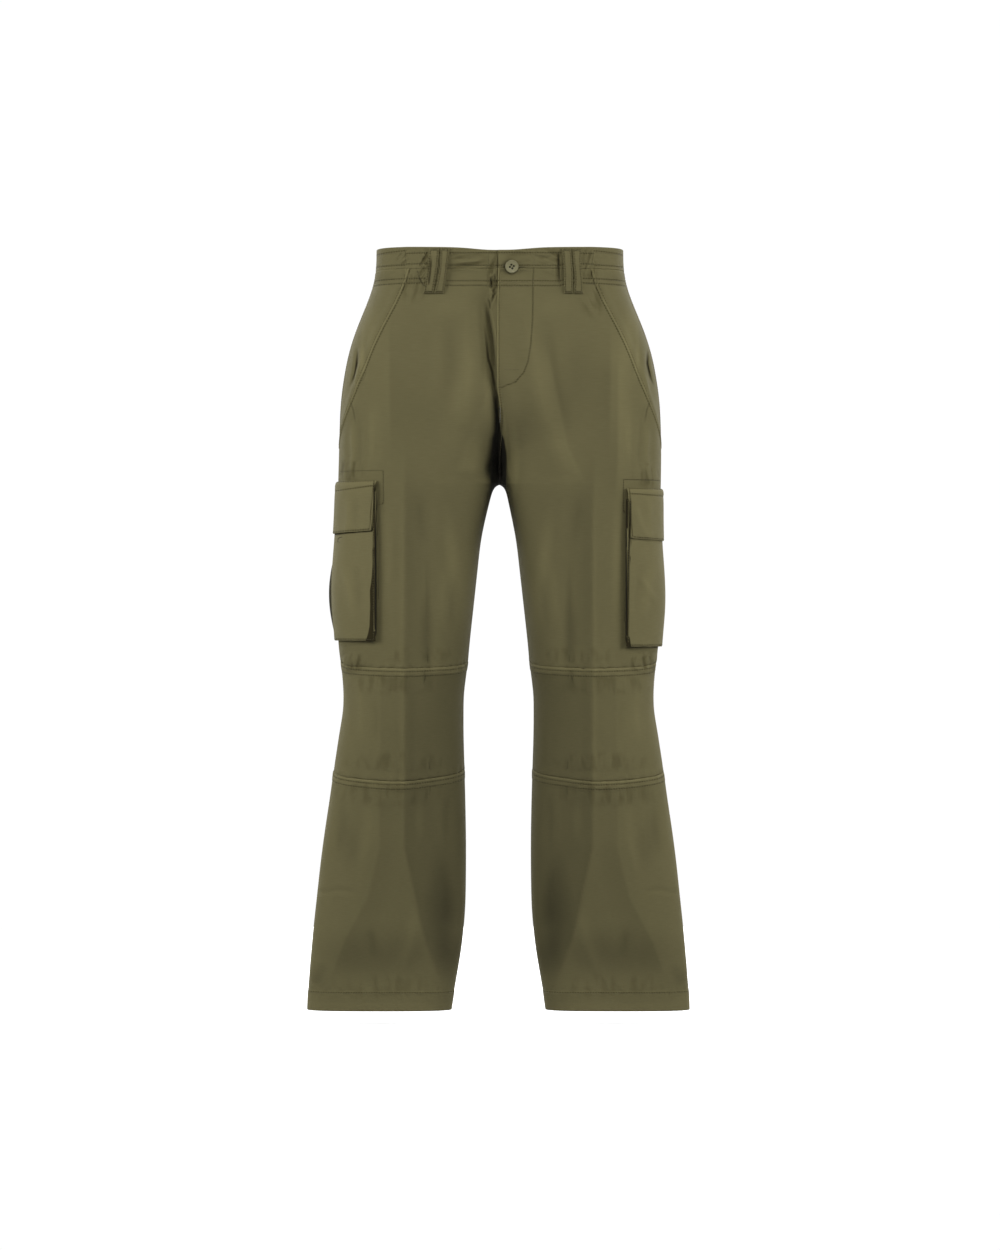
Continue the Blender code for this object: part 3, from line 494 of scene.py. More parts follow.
def stitchRows(name, points, distance, nearest):
    # how far each point lies from each row of sewing on its panel, how gathered it is, and its
    # place along a row
    p = points / mm
    x, z, flat = np.abs(p[:, 0]), p[:, 2], p[:, [0, 2]]
    rows = np.full((len(p), 6), farOff)
    gathered = np.clip(1 - nearest / 14, 0, 1)
    kind = name.replace("Right", "").replace("Left", "")
    upright = np.full(len(p), kind.startswith("loop"))      # rows that run up, not across
    if kind == "front":
        upright = z < -36
        rows[:, 0] = z - np.interp(x, (84, 97), (-25.7, -21.9))
        rows[:, 1] = z - np.interp(x, (84, 97), (-32.1, -28.2))
        slant = np.where(z > -252, distance["outer"], farOff + 6)
        rows[:, 2], rows[:, 3] = slant - 1.4, slant - 6.4
        rows[:, 4] = alongLine(flat, pocketOutline[name[5:].lower()])[0] * 1.5
        if name == "frontLeft":                 # one sign on both sides of x = 100
            rows[:, 4] = np.where(x < 100, alongLine(flat, fly["curve"])[0], -rows[:, 4])
            rows[:, 5] = np.where(z > -285, distance["inner"], farOff + 6) - 2.9
        gathered *= np.where(z > -240, 0.6, 1)
    elif kind == "side":
        rows[:, 0], rows[:, 1] = z + 21.9, z + 28.2
    elif kind == "bandFront":
        rows[:, 0], rows[:, 1] = z - 12.5, z - np.interp(x, (84, 97), (-4.7, -1.9))
    elif kind == "bandBack":
        rows[:, 0], rows[:, 1] = z - np.interp(x, (100, 171), (18, 14)), z + 3.4
    elif kind in ("knee", "shin"):
        top = distance["kneeTop" if kind == "knee" else "kneeFoot"]
        rows[:, 0], rows[:, 1] = top - 4.4, top - 10.8
    elif kind == "back":
        upright = distance["hem"] > 40
        rows[:, 0], rows[:, 1] = distance["outer"] - 1.8, distance["outer"] - 7.6
        seat = np.where(z > -288, distance["inner"], farOff + 8)
        rows[:, 3], rows[:, 4], rows[:, 5] = seat - 1.8, seat - 7.6, z + 12
    elif kind == "pocket":
        rows[:, 0] = distance["rim"] - 2.2
    elif kind == "flap":
        rows[:, 0] = distance["rim"] - 2.0
        rows[:, 1] = z - lineAt(pouch["strip"][sideWord(points)], x) + 1.2
    elif kind.startswith("loop"):
        rows[:, 0] = distance["rim"] - 1.7
    if kind in ("shin", "back"):
        rows[:, 2] = (distance["hem"] - 26) * 1.6
        gathered = np.maximum(gathered, np.clip(1 - np.abs(distance["hem"] - 26) / 16, 0, 1))
    if kind.startswith("band"):
        gathered = np.maximum(gathered, 0.7)
    return np.clip(rows, -farOff, farOff), gathered, np.where(upright, z, p[:, 0])

panels = {}                     # what later stages need of each finished panel
seamEnds = {"reach": 2.6, "centre": 12, -1: [], 1: []}     # mm, and the finished edges on each side
centreSeam = {"reach": 1.6, "gap": 0.03, "flyFoot": -197, "soft": 32}      # mm

def meetNeighbours(points, normals, edges):
    # an edge moves along the cloth to its neighbour's, so that no light shows through a seam
    ids = sorted({v for e in edges for v in e})
    for side in (-1, 1):
        mine = [i for i in ids if points[i, 0] * side > 0]
        tree = treeOf(seamEnds[side])
        for i in mine if seamEnds[side] else ():
            hit, k, gap = tree.find(points[i])
            off = abs(points[i, 0] / mm - middleX(points[i, 2] / mm))
            if gap < seamEnds["reach"] * mm and off > seamEnds["centre"]:
                step = np.array(hit) - points[i]
                points[i] += step - normals[i] * (step @ normals[i])
        seamEnds[side] += [points[a] + (points[b] - points[a]) * t for a, b in edges
                           if points[a, 0] * side > 0 for t in (0, 0.2, 0.4, 0.6, 0.8)]

def chains(edges):
    # boundary edges joined into runs of vertices
    links = {}
    for a, b in edges:
        links.setdefault(a, []).append(b)
        links.setdefault(b, []).append(a)
    seen, found = set(), []
    for start in sorted(links, key=lambda v: (len(links[v]) != 1, v)):
        run, ahead = [], [] if start in seen else [start]
        while ahead:
            run.append(ahead[0])
            seen.add(ahead[0])
            ahead = [v for v in links[run[-1]] if v not in seen]
        if len(run) > 2:
            found.append(run)
    return found

sidePoint = {"from": -215, "flat": -243.0, "to": -262.2, "front": -2.3, "back": 7.8}     # mm

def fillPoint(points):
    # the side panel's foot runs down into the corner between the front and the back
    p = points / mm
    low, high = sidePoint["front"], sidePoint["back"]
    across = np.clip((p[:, 1] - low) / (high - low), 0, 1)
    down = np.clip((sidePoint["from"] - p[:, 2]) / (sidePoint["from"] - sidePoint["flat"]), 0, 1)
    points[:, 2] += (sidePoint["to"] - sidePoint["flat"]) * across * down * mm
    return points

def bothHalves(field, points, normals, side):
    # a field of folds, taken for each half of a panel that spans both
    if side:
        return field(points, normals, side)
    right, left = [field(points, normals, s) for s in (-1, 1)]
    return np.where(points[:, 0] > 0 if right.ndim == 1 else points[:, :1] > 0, left, right)

def clothPanel(name, node, side, levels=cloth["levels"], wall=cloth["wall"], kinds=True, shape=None,
               cut=None):
    # a thin shell on its solid's form: skin, finer faces, folds, then a wall behind it
    obj = meshObject(name, outerSkin(node, side))
    mesh = refine(obj, levels)
    bm = bmesh.new()
    bm.from_mesh(mesh)
    bm.verts.ensure_lookup_table()
    bm.normal_update()
    points = np.array([v.co[:] for v in bm.verts])
    normals = np.array([v.normal[:] for v in bm.verts])
    if name.startswith("side"):
        points = fillPoint(points)
    tagged, distance = {}, {}
    for e in bm.edges:
        if e.is_boundary:
            kind = edgeKind(e.verts[0].co, e.verts[1].co) if kinds else "rim"
            tagged.setdefault(kind, []).append((e.verts[0].index, e.verts[1].index))
    for kind, edges in tagged.items():
        spots = [points[i] for i in sorted({v for e in edges for v in e})]
        tree = treeOf(spots + [(points[a] + points[b]) / 2 for a, b in edges])
        distance[kind] = np.array([tree.find(p)[2] for p in points]) / mm
    nearest = np.min(list(distance.values()), axis=0)
    rise = undulate(points) + bothHalves(creaseHeights, points, normals, side)
    # painted shade in the folds' troughs and painted light on their ridges, from their heights
    paintedShading = np.clip(rise * 0.05, -0.25, 0.15) + np.clip((rise + 5) * 0.07, -0.66, 0)
    paintedShading += tones(points, normals, side) if side else 0
    if shape:
        extra, moreShade = shape(points, normals, distance)
        rise, paintedShading = rise + extra, paintedShading + moreShade
    # the panel's edges are painted a little lighter
    paintedShading = np.maximum(paintedShading, cloth["darkest"]) + 0.10 * np.clip(1 - nearest / 2.4, 0, 1)
    reach, dip = cloth["edgeDip"]
    dip *= 0.4 if name.startswith(("band", "side")) else 1
    rise -= dip * np.clip(1 - nearest / reach, 0, 1) ** 2
    level = normals.copy()                  # near the centre plane the folds go straight back
    level[:, 0] *= smoothStep(np.abs(legPlane(points, 1)[:, 0]) / centreSeam["soft"])
    level /= np.linalg.norm(level, axis=1)[:, None]
    points = points + level * rise[:, None] * mm
    if side and kinds and not name.startswith("band"):
        off = legPlane(points, 1)[:, 0]
        seamed = np.array([v.is_boundary for v in bm.verts]) & (np.abs(off) < centreSeam["reach"])
        seamed &= (name != "frontLeft") | (points[:, 2] < centreSeam["flyFoot"] * mm)
        points[seamed, 0] += (side * centreSeam["gap"] - off[seamed]) * mm
    if kinds:
        meetNeighbours(points, normals, [e for pairs in tagged.values() for e in pairs])
    for v, p in zip(bm.verts, points):
        v.co = p
    bm.normal_update()
    normals = np.array([v.normal[:] for v in bm.verts])
    inward = {}
    for e in bm.edges:
        if e.is_boundary:
            step = e.link_faces[0].calc_center_median() - (e.verts[0].co + e.verts[1].co) / 2
            for v in e.verts:
                inward[v.index] = inward.get(v.index, Vector()) + step
    panels[name] = {
        "points": points, "normals": normals, "tree": BVHTree.FromBMesh(bm), "inward": inward,
        "edges": {k: chains(v) for k, v in tagged.items()},
    }
    area = sum(f.calc_area() for f in bm.faces)
    bm.to_mesh(mesh)
    bm.free()
    # the weave runs up, and round the middle of the leg
    core = side * np.interp(-points[:, 2], (0.03, 0.18, 0.40, 1.03), (0.07, 0.08, 0.118, 0.165))
    front = 1 if points[:, 1].mean() < 0.008 else -1
    turn = np.arctan2(points[:, 0] - core, (0.008 - points[:, 1]) * front)
    addWeave(mesh, np.stack([turn * 0.12, points[:, 2]], 1))
    rows, gathered, row = stitchRows(name, points, distance, nearest)
    slit, shirr = [bothHalves(field, points, normals, side) for field in (slitField, shirrField)]
    if cut:
        near, force = cut(points, normals)
        mine = np.stack([np.clip(near, -9, 9), force, np.ones(len(points))], 1)
        slit = np.where((force > slit[:, 1])[:, None], mine, slit)
    for word, values in (("rowsOne", rows[:, :3]), ("rowsTwo", rows[:, 3:]), ("slit", slit),
                         ("shirr", shirr), ("gathered", gathered), ("row", row), ("worn", paintedShading)):
        addLayer(mesh, word, values)
    thick = obj.modifiers.new("wall", "SOLIDIFY")
    thick.thickness, thick.offset, thick.use_even_offset = wall * mm, -1, True
    if "hem" in distance:                   # thicker where the hem is turned up
        group = obj.vertex_groups.new(name="body")
        group.add([int(i) for i in np.nonzero(distance["hem"] >= seam["hem"])[0]], 1.0, "REPLACE")
        thick.thickness, thick.vertex_group = cloth["hemWall"] * mm, group.name
        thick.invert_vertex_group = True
        thick.thickness_vertex_group = cloth["wall"] / cloth["hemWall"]
    rim = obj.modifiers.new("rim", "BEVEL")
    rim.width, rim.segments = cloth["rimRound"] * mm, 1
    rim.limit_method, rim.angle_limit = "ANGLE", math.radians(cloth["rimBend"])
    bake(obj)
    soften(obj)
    enter(obj, node)
    print(name, "verts", len(obj.data.vertices), "skin m2", round(area, 4))
    return obj

def gathers(points, distance, seed, reach=cloth["pucker"][0], height=cloth["pucker"][1]):
    # short uneven puckers beside a seam, from sines of x and y
    r = np.random.default_rng(seed)
    along = points[:, 0] / mm * 0.8 + points[:, 1] / mm * 0.5
    total = sum(r.uniform(0.4, 1) * np.sin(along * 2 * np.pi / pitch + r.uniform(0, 6.3))
                for pitch in r.uniform(7, 23, 6))
    return total / 2.2 * height * np.clip(1 - distance / reach, 0, 1) ** 1.5

seam = {"band": 11.6, "lift": 0.55, "hem": 27.0, "hemLift": 0.5}

pouch = {                       # z of each flap's lower edge at two distances from the centre, mm
    "flapFoot": {"right": ((175, -363.5), (228, -368)), "left": ((189, -370.5), (226, -374.5))},
    "face": {
        "right": ((-300, 171), (-366, 171.3), (-409, 170.6), (-430, 172), (-448, 174.6), (-470, 174.2),
                  (-496, 175.3), (-508, 177.5), (-517, 181)),
        "left": ((-300, 180), (-374, 181), (-400, 180), (-425, 178), (-456, 178.8), (-486, 176.2), (-508, 178),
                 (-525, 180.5)),
    },
    "strip": {"right": ((172, -303.6), (223, -309.5)), "left": ((180, -314.4), (226, -316.5))},
    "gape": {"z": -456, "half": 46, "out": 3.6},
}

def lineAt(pair, x):
    return np.interp(x, *zip(*pair))

def sideWord(points):
    return "left" if points[0, 0] > 0 else "right"

def pouchShape(points, normals, distance):
    # the pocket is painted a little lighter, its side fold towards the middle is painted in its own shade, and
    # the right pocket gapes at its outer one, with painted shade in the gape
    x, y, z = points.T / mm
    turned = smoothStep((-normals[:, 0] * np.sign(x) - 0.35) / 0.3) * (1 - 0.62 * smoothStep(y / 20))
    gape = pouch["gape"]
    wide = np.clip(1 - ((z - gape["z"]) / gape["half"]) ** 2, 0, 1) * (x < -200)
    rise = gape["out"] * wide * smoothStep((y + 7) / 10) * smoothStep((34 - y) / 24)
    shade = smoothStep(wide / 0.25) * smoothStep((y + 8) / 4) * smoothStep((8 - y) / 6)
    return rise, 0.13 - 0.98 * np.maximum(turned, shade)

def pouchCut(points, normals):
    # painted shadow past the face's uneven front edge, and painted shade under the flap
    x, z = np.abs(points[:, 0]) / mm, points[:, 2] / mm
    heights, edges = zip(*pouch["face"][sideWord(points)])
    past = (x - np.interp(-z, [-v for v in heights], edges)) / 0.9
    under = (lineAt(pouch["flapFoot"][sideWord(points)], x) - 2.6 - z) / 0.9
    near = np.minimum(past, under)
    return near, np.where(normals[:, 1] < 0, 0.95, 0) * smoothStep(2 - near / 4)

def forkCut(points, normals):
    # the sharp edge of the painted shade in the fold at the fork
    x, z = legPlane(points, 1).T
    right, left, depth = forkEdges(z)
    inside = smoothStep((x - left + 3) / 4) * smoothStep(2 - (x - right) / 4)
    return x - right, depth * 0.9 * (normals[:, 1] < 0) * inside

def flapShape(points, normals, distance):
    # the stitched-down strip along its top, and a painted highlight on the flap and, stronger, on its strip
    x, z = np.abs(points[:, 0]) / mm, points[:, 2] / mm
    strip = smoothStep(0.5 + (z - lineAt(pouch["strip"][sideWord(points)], x)) / 3)
    return 0.5 * strip, 0.12 + 0.05 * strip

def frontShape(points, normals, distance):
    # the turned edge of the slant pocket stands a little proud, and it and the lip at the fly get a painted
    # highlight
    welt = smoothStep((7.2 - distance["outer"]) / 1.6) * (points[:, 2] > -0.252)
    lip = smoothStep((4.8 - distance["inner"]) / 1.4) * (points[:, 2] > -0.2) * (points[:, 0] > -0.004)
    rise = gathers(points, distance["kneeTop"], 3) + 0.7 * welt + 0.4 * lip
    return rise, 0.20 * welt + 0.26 * lip

sideMeets = {                   # depth below each neighbour's edge, and how far in it is felt, mm
    "reach": 18, "edges": (("bandBack", "top", 0.2), ("back", "outer", 0.1), ("front", "outer", 1.0)),
}

def sideShape(points, normals, distance):
    # meets its neighbours' edges, a little behind the pocket's, and lies in the welt's shade
    rise, share = np.zeros(len(points)), np.zeros(len(points))
    for word, kind, sunk in sideMeets["edges"]:
        near = panels[word if word == "bandBack" else word + sideWord(points).capitalize()]
        tree = treeOf([near["points"][i] for run in near["edges"][kind] for i in run])
        for i, spot in enumerate(points):
            hit, k, gap = tree.find(spot)
            weight = float(smoothStep(1.25 - gap / mm / sideMeets["reach"]))
            rise[i] += weight * (float((np.array(hit) - spot) @ normals[i]) / mm - sunk)
            share[i] += weight
    rise /= np.maximum(share, 1)
    shade = 0.20 * smoothStep((16 - distance["outer"]) / 16) + 0.30 * smoothStep((3 - distance["outer"]) / 2)
    return rise, -shade * (normals[:, 1] < -0.3) * smoothStep((points[:, 2] / mm + 210) / 70)

def inBand(top):
    return smoothStep((seam["band"] + 1.2 - top) / 2.4)

def hemFold(points, hem, seed):
    # where the hem is turned up, and how it rises and gathers along its sewing
    share = smoothStep((seam["hem"] + 0.8 - hem) / 1.6)
    return share, seam["hemLift"] * share + gathers(points, np.abs(hem - seam["hem"]), seed, 17, 0.5)

def kneeShape(points, normals, distance):
    # the band below the knee seam is painted a little lighter
    top = distance["kneeTop"]
    rise = seam["lift"] * inBand(top) + gathers(points, top, 5)
    return rise + gathers(points, distance["kneeFoot"], 6), 0.10 * inBand(top)

def shinShape(points, normals, distance):
    # the band below the seam and the turned-up hem are painted a little lighter
    top = distance["kneeFoot"]
    share, rise = hemFold(points, distance["hem"], 8)
    rise = rise + seam["lift"] * inBand(top) + gathers(points, top, 7)
    return rise, 0.10 * inBand(top) + 0.06 * share

def backShape(points, normals, distance):
    # the turned-up hem is painted a little lighter
    share, rise = hemFold(points, distance["hem"], 9)
    return rise + 0.9 * smoothStep((10 - distance["top"]) / 9), 0.06 * share

# the panels of each leg, in the order in which each meets the finished ones
legPanels = {
    "front": {"shape": frontShape, "cut": forkCut}, "knee": {"shape": kneeShape},
    "shin": {"shape": shinShape}, "back": {"shape": backShape}, "side": {"shape": sideShape},
    "bandFront": {"wall": 2.5},
    "pocket": {"wall": 1.4, "kinds": False, "shape": pouchShape, "cut": pouchCut},
    "flap": {"wall": 2.0, "kinds": False, "shape": flapShape},
}
made = {"bandBack": clothPanel("bandBack", "band_back", 0, wall=2.5)}
for word, side in (("right", -1), ("left", 1)):
    for kind, rules in legPanels.items():
        name = kind + word.capitalize()
        node = kind.replace("bandFront", "band_front") + "_" + word
        made[name] = clothPanel(name, node, side, **rules)
made["flyShield"] = clothPanel("flyShield", "fly_shield", 1, levels=2, kinds=False)
for node in sorted(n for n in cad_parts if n.startswith("loop_")):
    words = node.split("_")
    name = words[0] + "".join(w.capitalize() for w in words[1:])
    lo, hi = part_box(node)
    made[name] = clothPanel(name, node, 1 if lo.x + hi.x > 0 else -1, wall=1.8, kinds=False)
print("panels", len(made))

def wholePiece(name, node, levels):
    # a closed strip taken whole, with finer faces
    bm = bmesh.new()
    bm.from_mesh(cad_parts[node].data)
    bmesh.ops.remove_doubles(bm, verts=bm.verts, dist=2e-5)
    bmesh.ops.join_triangles(bm, faces=bm.faces, angle_face_threshold=math.radians(30),
                             angle_shape_threshold=math.pi)
    crease = bm.edges.layers.float.new("crease_edge")
    for e in bm.edges:
        e.smooth = e.calc_face_angle(0) < math.radians(45)
        e[crease] = 0 if e.smooth else 0.7
    obj = meshObject(name, bm)
    mesh = refine(obj, levels)
    soften(obj)
    spots = np.array([v.co[:] for v in mesh.vertices])
    addWeave(mesh, spots[:, :2])
    for word in ("rowsOne", "rowsTwo"):
        addLayer(mesh, word, np.full(spots.shape, farOff))
    addLayer(mesh, "worn", 0.45 * smoothStep(spots[:, 1] / mm / 20) - 0.85)     # a fold in its own shade
    # and painted shadow on its front half
    addLayer(mesh, "slit", np.outer(spots[:, 1] < 0, (0, 0.9, 0)))
    enter(obj, node)
    return obj

for word in ("right", "left"):
    name = "gusset" + word.capitalize()
    made[name] = wholePiece(name, "gusset_" + word, 2)

thread = {"pitch": 3.5, "long": 2.6, "wide": 0.8, "high": 0.6, "lift": 0.12}     # mm
button = {                      # mm, the turn of its holes in degrees, and its two tones
    "radius": 9.0, "high": 2.8, "rim": 1.7, "dish": 0.75, "holeRadius": 1.45, "holeStep": 2.65,
    "turn": 14, "shank": 3.4, "hole": {"from": 4.6, "to": 27.0, "z": -6.6},
    "dark": (0.185, 0.172, 0.088), "light": (0.240, 0.224, 0.122),
}

def placeStitch(bm, at, along, up, long=thread["long"], wide=thread["wide"], high=thread["high"]):
    along = (along - up * along.dot(up)).normalized()
    turn = Matrix((along, up.cross(along), up)).transposed().to_4x4()
    size = Matrix.Diagonal((long / 2, wide / 2, high / 2, 1 / mm)) * mm
    bmesh.ops.create_icosphere(bm, subdivisions=1, radius=1.0,
                               matrix=Matrix.Translation(at + up * thread["lift"] * mm) @ turn @ size)

def sewLine(bm, line, pitch=thread["pitch"], **sizes):
    # one stitch each pitch along points that have normals
    pitch = pitch * mm
    points = [p for p, n in line]
    lengths = np.concatenate([[0], np.cumsum([(b - a).length for a, b in zip(points, points[1:])])])
    for s in np.arange(pitch / 2, lengths[-1] - pitch * 0.3, pitch):
        k = min(int(np.searchsorted(lengths, s, side="right")) - 1, len(line) - 2)
        t = (s - lengths[k]) / max(lengths[k + 1] - lengths[k], 1e-9)
        up = line[k][1].lerp(line[k + 1][1], t).normalized()
        placeStitch(bm, points[k].lerp(points[k + 1], t), points[k + 1] - points[k], up, **sizes)

def alongEdge(panel, kind, inset):
    # runs inside a panel's edge, at the same distance all along
    p = panels[panel]
    rows = []
    for run in p["edges"].get(kind, []):
        line = []
        for i in run[2:-2:2]:
            step = p["inward"][i].normalized()
            up = Vector(p["normals"][i])
            step = (step - up * step.dot(up)).normalized()
            hit = p["tree"].find_nearest(Vector(p["points"][i]) + step * inset * mm)
            if hit[0] is not None:
                line.append((hit[0], hit[1]))
        rows.append(line)
    return rows

def onFace(names, face, points, step=2.0):
    # a line of points (x, z) in mm, dropped on the named panels from in front or behind
    line = []
    knots = [Vector((x, z)) for x, z in points]
    sign = -1 if face == "front" else 1
    for a, b in zip(knots, knots[1:]):
        count = max(1, int((b - a).length / step))
        for k in range(count + (b is knots[-1])):
            x, z = a.lerp(b, k / count) * mm
            best = None
            for name in names:
                hit = panels[name]["tree"].ray_cast(Vector((x, sign, z)), Vector((0, -sign, 0)))
                if hit[0] is not None and (best is None or hit[3] < best[3]):
                    best = hit
            if best:
                line.append((best[0], best[1]))
    return line

def threadPiece(name, fill):
    bm = bmesh.new()
    fill(bm)
    obj = made[name] = meshObject(name, bm)
    obj.data.shade_smooth()
    enter(obj)
    print(name, "faces", len(obj.data.polygons))

allDown = -1100                 # mm, below the hems
edgeRows = {                    # rows of sewing: panel, edge, distance from it, lowest height, mm
    "knee": [(panel, edge, inset, allDown) for inset in (4.4, 10.8)
             for panel, edge in (("knee", "kneeTop"), ("shin", "kneeFoot"))],
    "hem": [(panel, "hem", seam["hem"] - 1, allDown) for panel in ("shin", "back")],
    "pocket": [("pocket", "rim", 2.2, allDown), ("flap", "rim", 2.0, allDown)],
    "seam": [("front", "outer", inset, -250) for inset in (1.6, 6.4)]
            + [("back", edge, inset, low) for inset in (1.8, 7.6)
               for edge, low in (("outer", allDown), ("inner", -285))],
}

def sewEdges(bm, rows):
    for tail in ("Right", "Left"):
        for panel, edge, inset, low in edgeRows[rows]:
            for line in alongEdge(panel + tail, edge, inset):
                sewLine(bm, [(p, n) for p, n in line if p.z > low * mm])

def sewPockets(bm):
    sewEdges(bm, "pocket")
    for word, outline in pocketOutline.items():
        sewLine(bm, onFace(("front" + word.capitalize(),), "front", outline))

def sewFly(bm):
    sewLine(bm, onFace(("bandFrontLeft", "frontLeft"), "front", fly["curve"], 1.2))
    sewLine(bm, onFace(("frontLeft",), "front", fly["bar"]), pitch=1.5)
    # rows beside the edge: distance from it, lowest and highest z, furthest x, mm
    for inset, low, high, reach in ((2.9, -185, -10, 8), (2.0, -268, -196, 14), (6.5, -268, -196, 14)):
        row = [(p, n) for run in alongEdge("frontLeft", "inner", inset) for p, n in run
               if low < p.z / mm < high and p.x / mm < reach]
        sewLine(bm, sorted(row, key=lambda spot: -spot[0].z))

waist = {                       # from x, to x, heights of the stitch rows, mm
    "rows": (
        ("front", ("bandFrontRight", "frontRight"), -84, -3.5, (11.5, -4.6, -25.6, -32)),
        ("front", ("bandFrontLeft", "frontLeft"), 0.5, 52, (11.0, -12.0, -27.6, -33.4)),
        ("front", ("bandFrontLeft", "frontLeft"), 56, 84, (11.8, -4.6, -27.8, -33.4)),
        ("front", ("bandFrontRight", "frontRight", "bandBack", "sideRight"), -171, -97,
         (13.5, -1.9, -21.8, -28)),
        ("front", ("bandFrontLeft", "frontLeft", "bandBack", "sideLeft"), 112, 171,
         (13.5, -1.9, -22.8, -29)),
        ("back", ("bandBack", "backRight"), -171, -112, (16, -4.4, -12.0)),
        ("back", ("bandBack", "backRight"), -85, -14, (18, -4.4, -12.0)),
        ("back", ("bandBack", "backLeft"), 14, 84, (18, -4.4, -12.0)),
        ("back", ("bandBack", "backLeft"), 112, 171, (16, -4.4, -12.0)),
    ),
    "joints": ((("bandFrontRight", "bandBack"), -127.6), (("bandFrontLeft", "bandBack"), 129.8)),
}

def sewWaist(bm):
    for face, names, x0, x1, heights in waist["rows"]:
        count = max(4, int(abs(x1 - x0) / 6))
        for z in heights:
            sewLine(bm, onFace(names, face, [(x0 + (x1 - x0) * k / count, z) for k in range(count + 1)]))
    for names, x in waist["joints"]:
        sewLine(bm, onFace(names, "front", ((x, 17), (x + (2 if x < 0 else -2), -6))), wide=0.9)

def barTack(bm, centre, normal, across, length=9.0, depth=1.6):
    # a short close zigzag that holds an end down
    down = normal.cross(across).normalized()
    for k in range(int(length / 0.75)):
        at = centre + across * ((k + 0.5) * 0.75 - length / 2) * mm
        placeStitch(bm, at, down, normal, long=depth, wide=0.62, high=0.7)

def sewButtonhole(bm):
    # close stitches round the slot behind the button, with a bar at its outer end
    hole = button["hole"]
    for z, lean in ((hole["z"] + 1.5, 1), (hole["z"] - 1.5, -1)):
        line = onFace(("bandFrontLeft",), "front", ((hole["from"], z), (hole["to"], z)), 0.8)
        for at, up in line:
            placeStitch(bm, at, Vector((0, 0, lean)), up, long=1.9, wide=0.7, high=0.6)
    bar = ((hole["to"] + 0.6, hole["z"]), (hole["to"] + 5, hole["z"]))
    for at, up in onFace(("bandFrontLeft",), "front", bar, 0.8):
        placeStitch(bm, at, Vector((0, 0, 1)), up, long=3.0, wide=0.75, high=0.8)
    for end in ((45, hole["z"] + 1.5), (43, hole["z"] - 4)):
        sewLine(bm, onFace(("bandFrontLeft",), "front", ((hole["to"] + 6, hole["z"]), end), 1.2))

def sewLoops(bm):
    for name in [n for n in panels if n.startswith("loop")]:
        p = panels[name]
        for line in alongEdge(name, "rim", 1.7):
            sewLine(bm, line)
        low, high = p["points"][:, 2].min(), p["points"][:, 2].max()
        for z in (low + 3.2 * mm, high - 3.0 * mm):
            near = p["points"][np.abs(p["points"][:, 2] - z) < 1.5 * mm].mean(0)
            hit = p["tree"].find_nearest(Vector(near))
            across = Vector((0, 0, 1)).cross(hit[1]).normalized()
            barTack(bm, hit[0], hit[1], across, 8.5 if z < 0 else 8.0)

def pegs(name, foot, tip, depth, z, segments):
    # four upright pegs where the button's holes are
    bm = bmesh.new()
    for k in range(4):
        a = math.radians(button["turn"] + 90 * k)
        spot = Vector((button["holeStep"] * math.cos(a), button["holeStep"] * math.sin(a), z)) * mm
        bmesh.ops.create_cone(bm, cap_ends=True, segments=segments, radius1=foot * mm, radius2=tip * mm,
                              depth=depth * mm, matrix=Matrix.Translation(spot))
    return meshObject(name, bm)

def turnedButton():
    # a dished disc with a raised rim and four holes, and the thread that fills them
    spots = np.array([v.co[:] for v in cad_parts["button"].data.vertices])
    centre = (spots.min(0) + spots.max(0)) / 2
    out = np.linalg.svd(spots - spots.mean(0))[2][2]
    out = Vector(out if out[1] < 0 else -out)
    depths = (spots - centre) @ np.array(out)
    low, high = depths.min(), depths.max()
    turn = out.to_track_quat("Z", "Y").to_matrix().to_4x4()
    place = Matrix.Translation(Vector(centre) + out * low) @ turn
    r, rim, dish = [button[k] for k in ("radius", "rim", "dish")]
    h = min(button["high"], (high - low) / mm)
    profile = ((0, 0), (r - 1.6, 0), (r - 0.5, 0.5), (r, 1.3), (r - 0.15, h - 0.5), (r - 0.7, h),
               (r - rim, h - 0.15), (r - rim - 0.8, h - dish), (2.0, h - dish - 0.1), (0, h - dish - 0.1))
    bm = bmesh.new()
    verts = [bm.verts.new((x * mm, 0, z * mm)) for x, z in profile]
    edges = [bm.edges.new(pair) for pair in zip(verts, verts[1:])]
    bmesh.ops.spin(bm, geom=verts + edges, cent=(0, 0, 0), axis=(0, 0, 1), angle=2 * math.pi, steps=48,
                   use_merge=True)
    bmesh.ops.remove_doubles(bm, verts=bm.verts, dist=1e-5)
    bmesh.ops.recalc_face_normals(bm, faces=bm.faces)
    disc = meshObject("buttonDisc", bm)
    drill = pegs("drill", button["holeRadius"], button["holeRadius"], 12, 0, 20)
    holes = disc.modifiers.new("holes", "BOOLEAN")
    holes.object, holes.operation, holes.solver = drill, "DIFFERENCE", "EXACT"
    soft = disc.modifiers.new("soft", "BEVEL")
    soft.width, soft.segments = 0.16 * mm, 2
    soft.limit_method, soft.angle_limit = "ANGLE", math.radians(50)
    bake(disc)
    bpy.data.objects.remove(drill)
    above, below = h - dish - 1.1, button["shank"]
    eyes = made["buttonThread"] = pegs("buttonThread", 1.2, 1.1, above + below, (above - below) / 2, 12)
    eyes.data.transform(place)
    eyes.data.shade_smooth()
    enter(eyes)
    disc.data.transform(place)
    soften(disc, 40)
    enter(disc, "button")
    return disc

buttonDisc = turnedButton()
print("button", len(buttonDisc.data.vertices))
sewing = {
    "buttonhole": sewButtonhole, "knee": lambda bm: sewEdges(bm, "knee"),
    "hem": lambda bm: sewEdges(bm, "hem"), "pocket": sewPockets, "fly": sewFly, "waist": sewWaist,
    "seam": lambda bm: sewEdges(bm, "seam"), "loop": sewLoops,
}
for word, fill in sewing.items():
    threadPiece(word + "Stitches", fill)

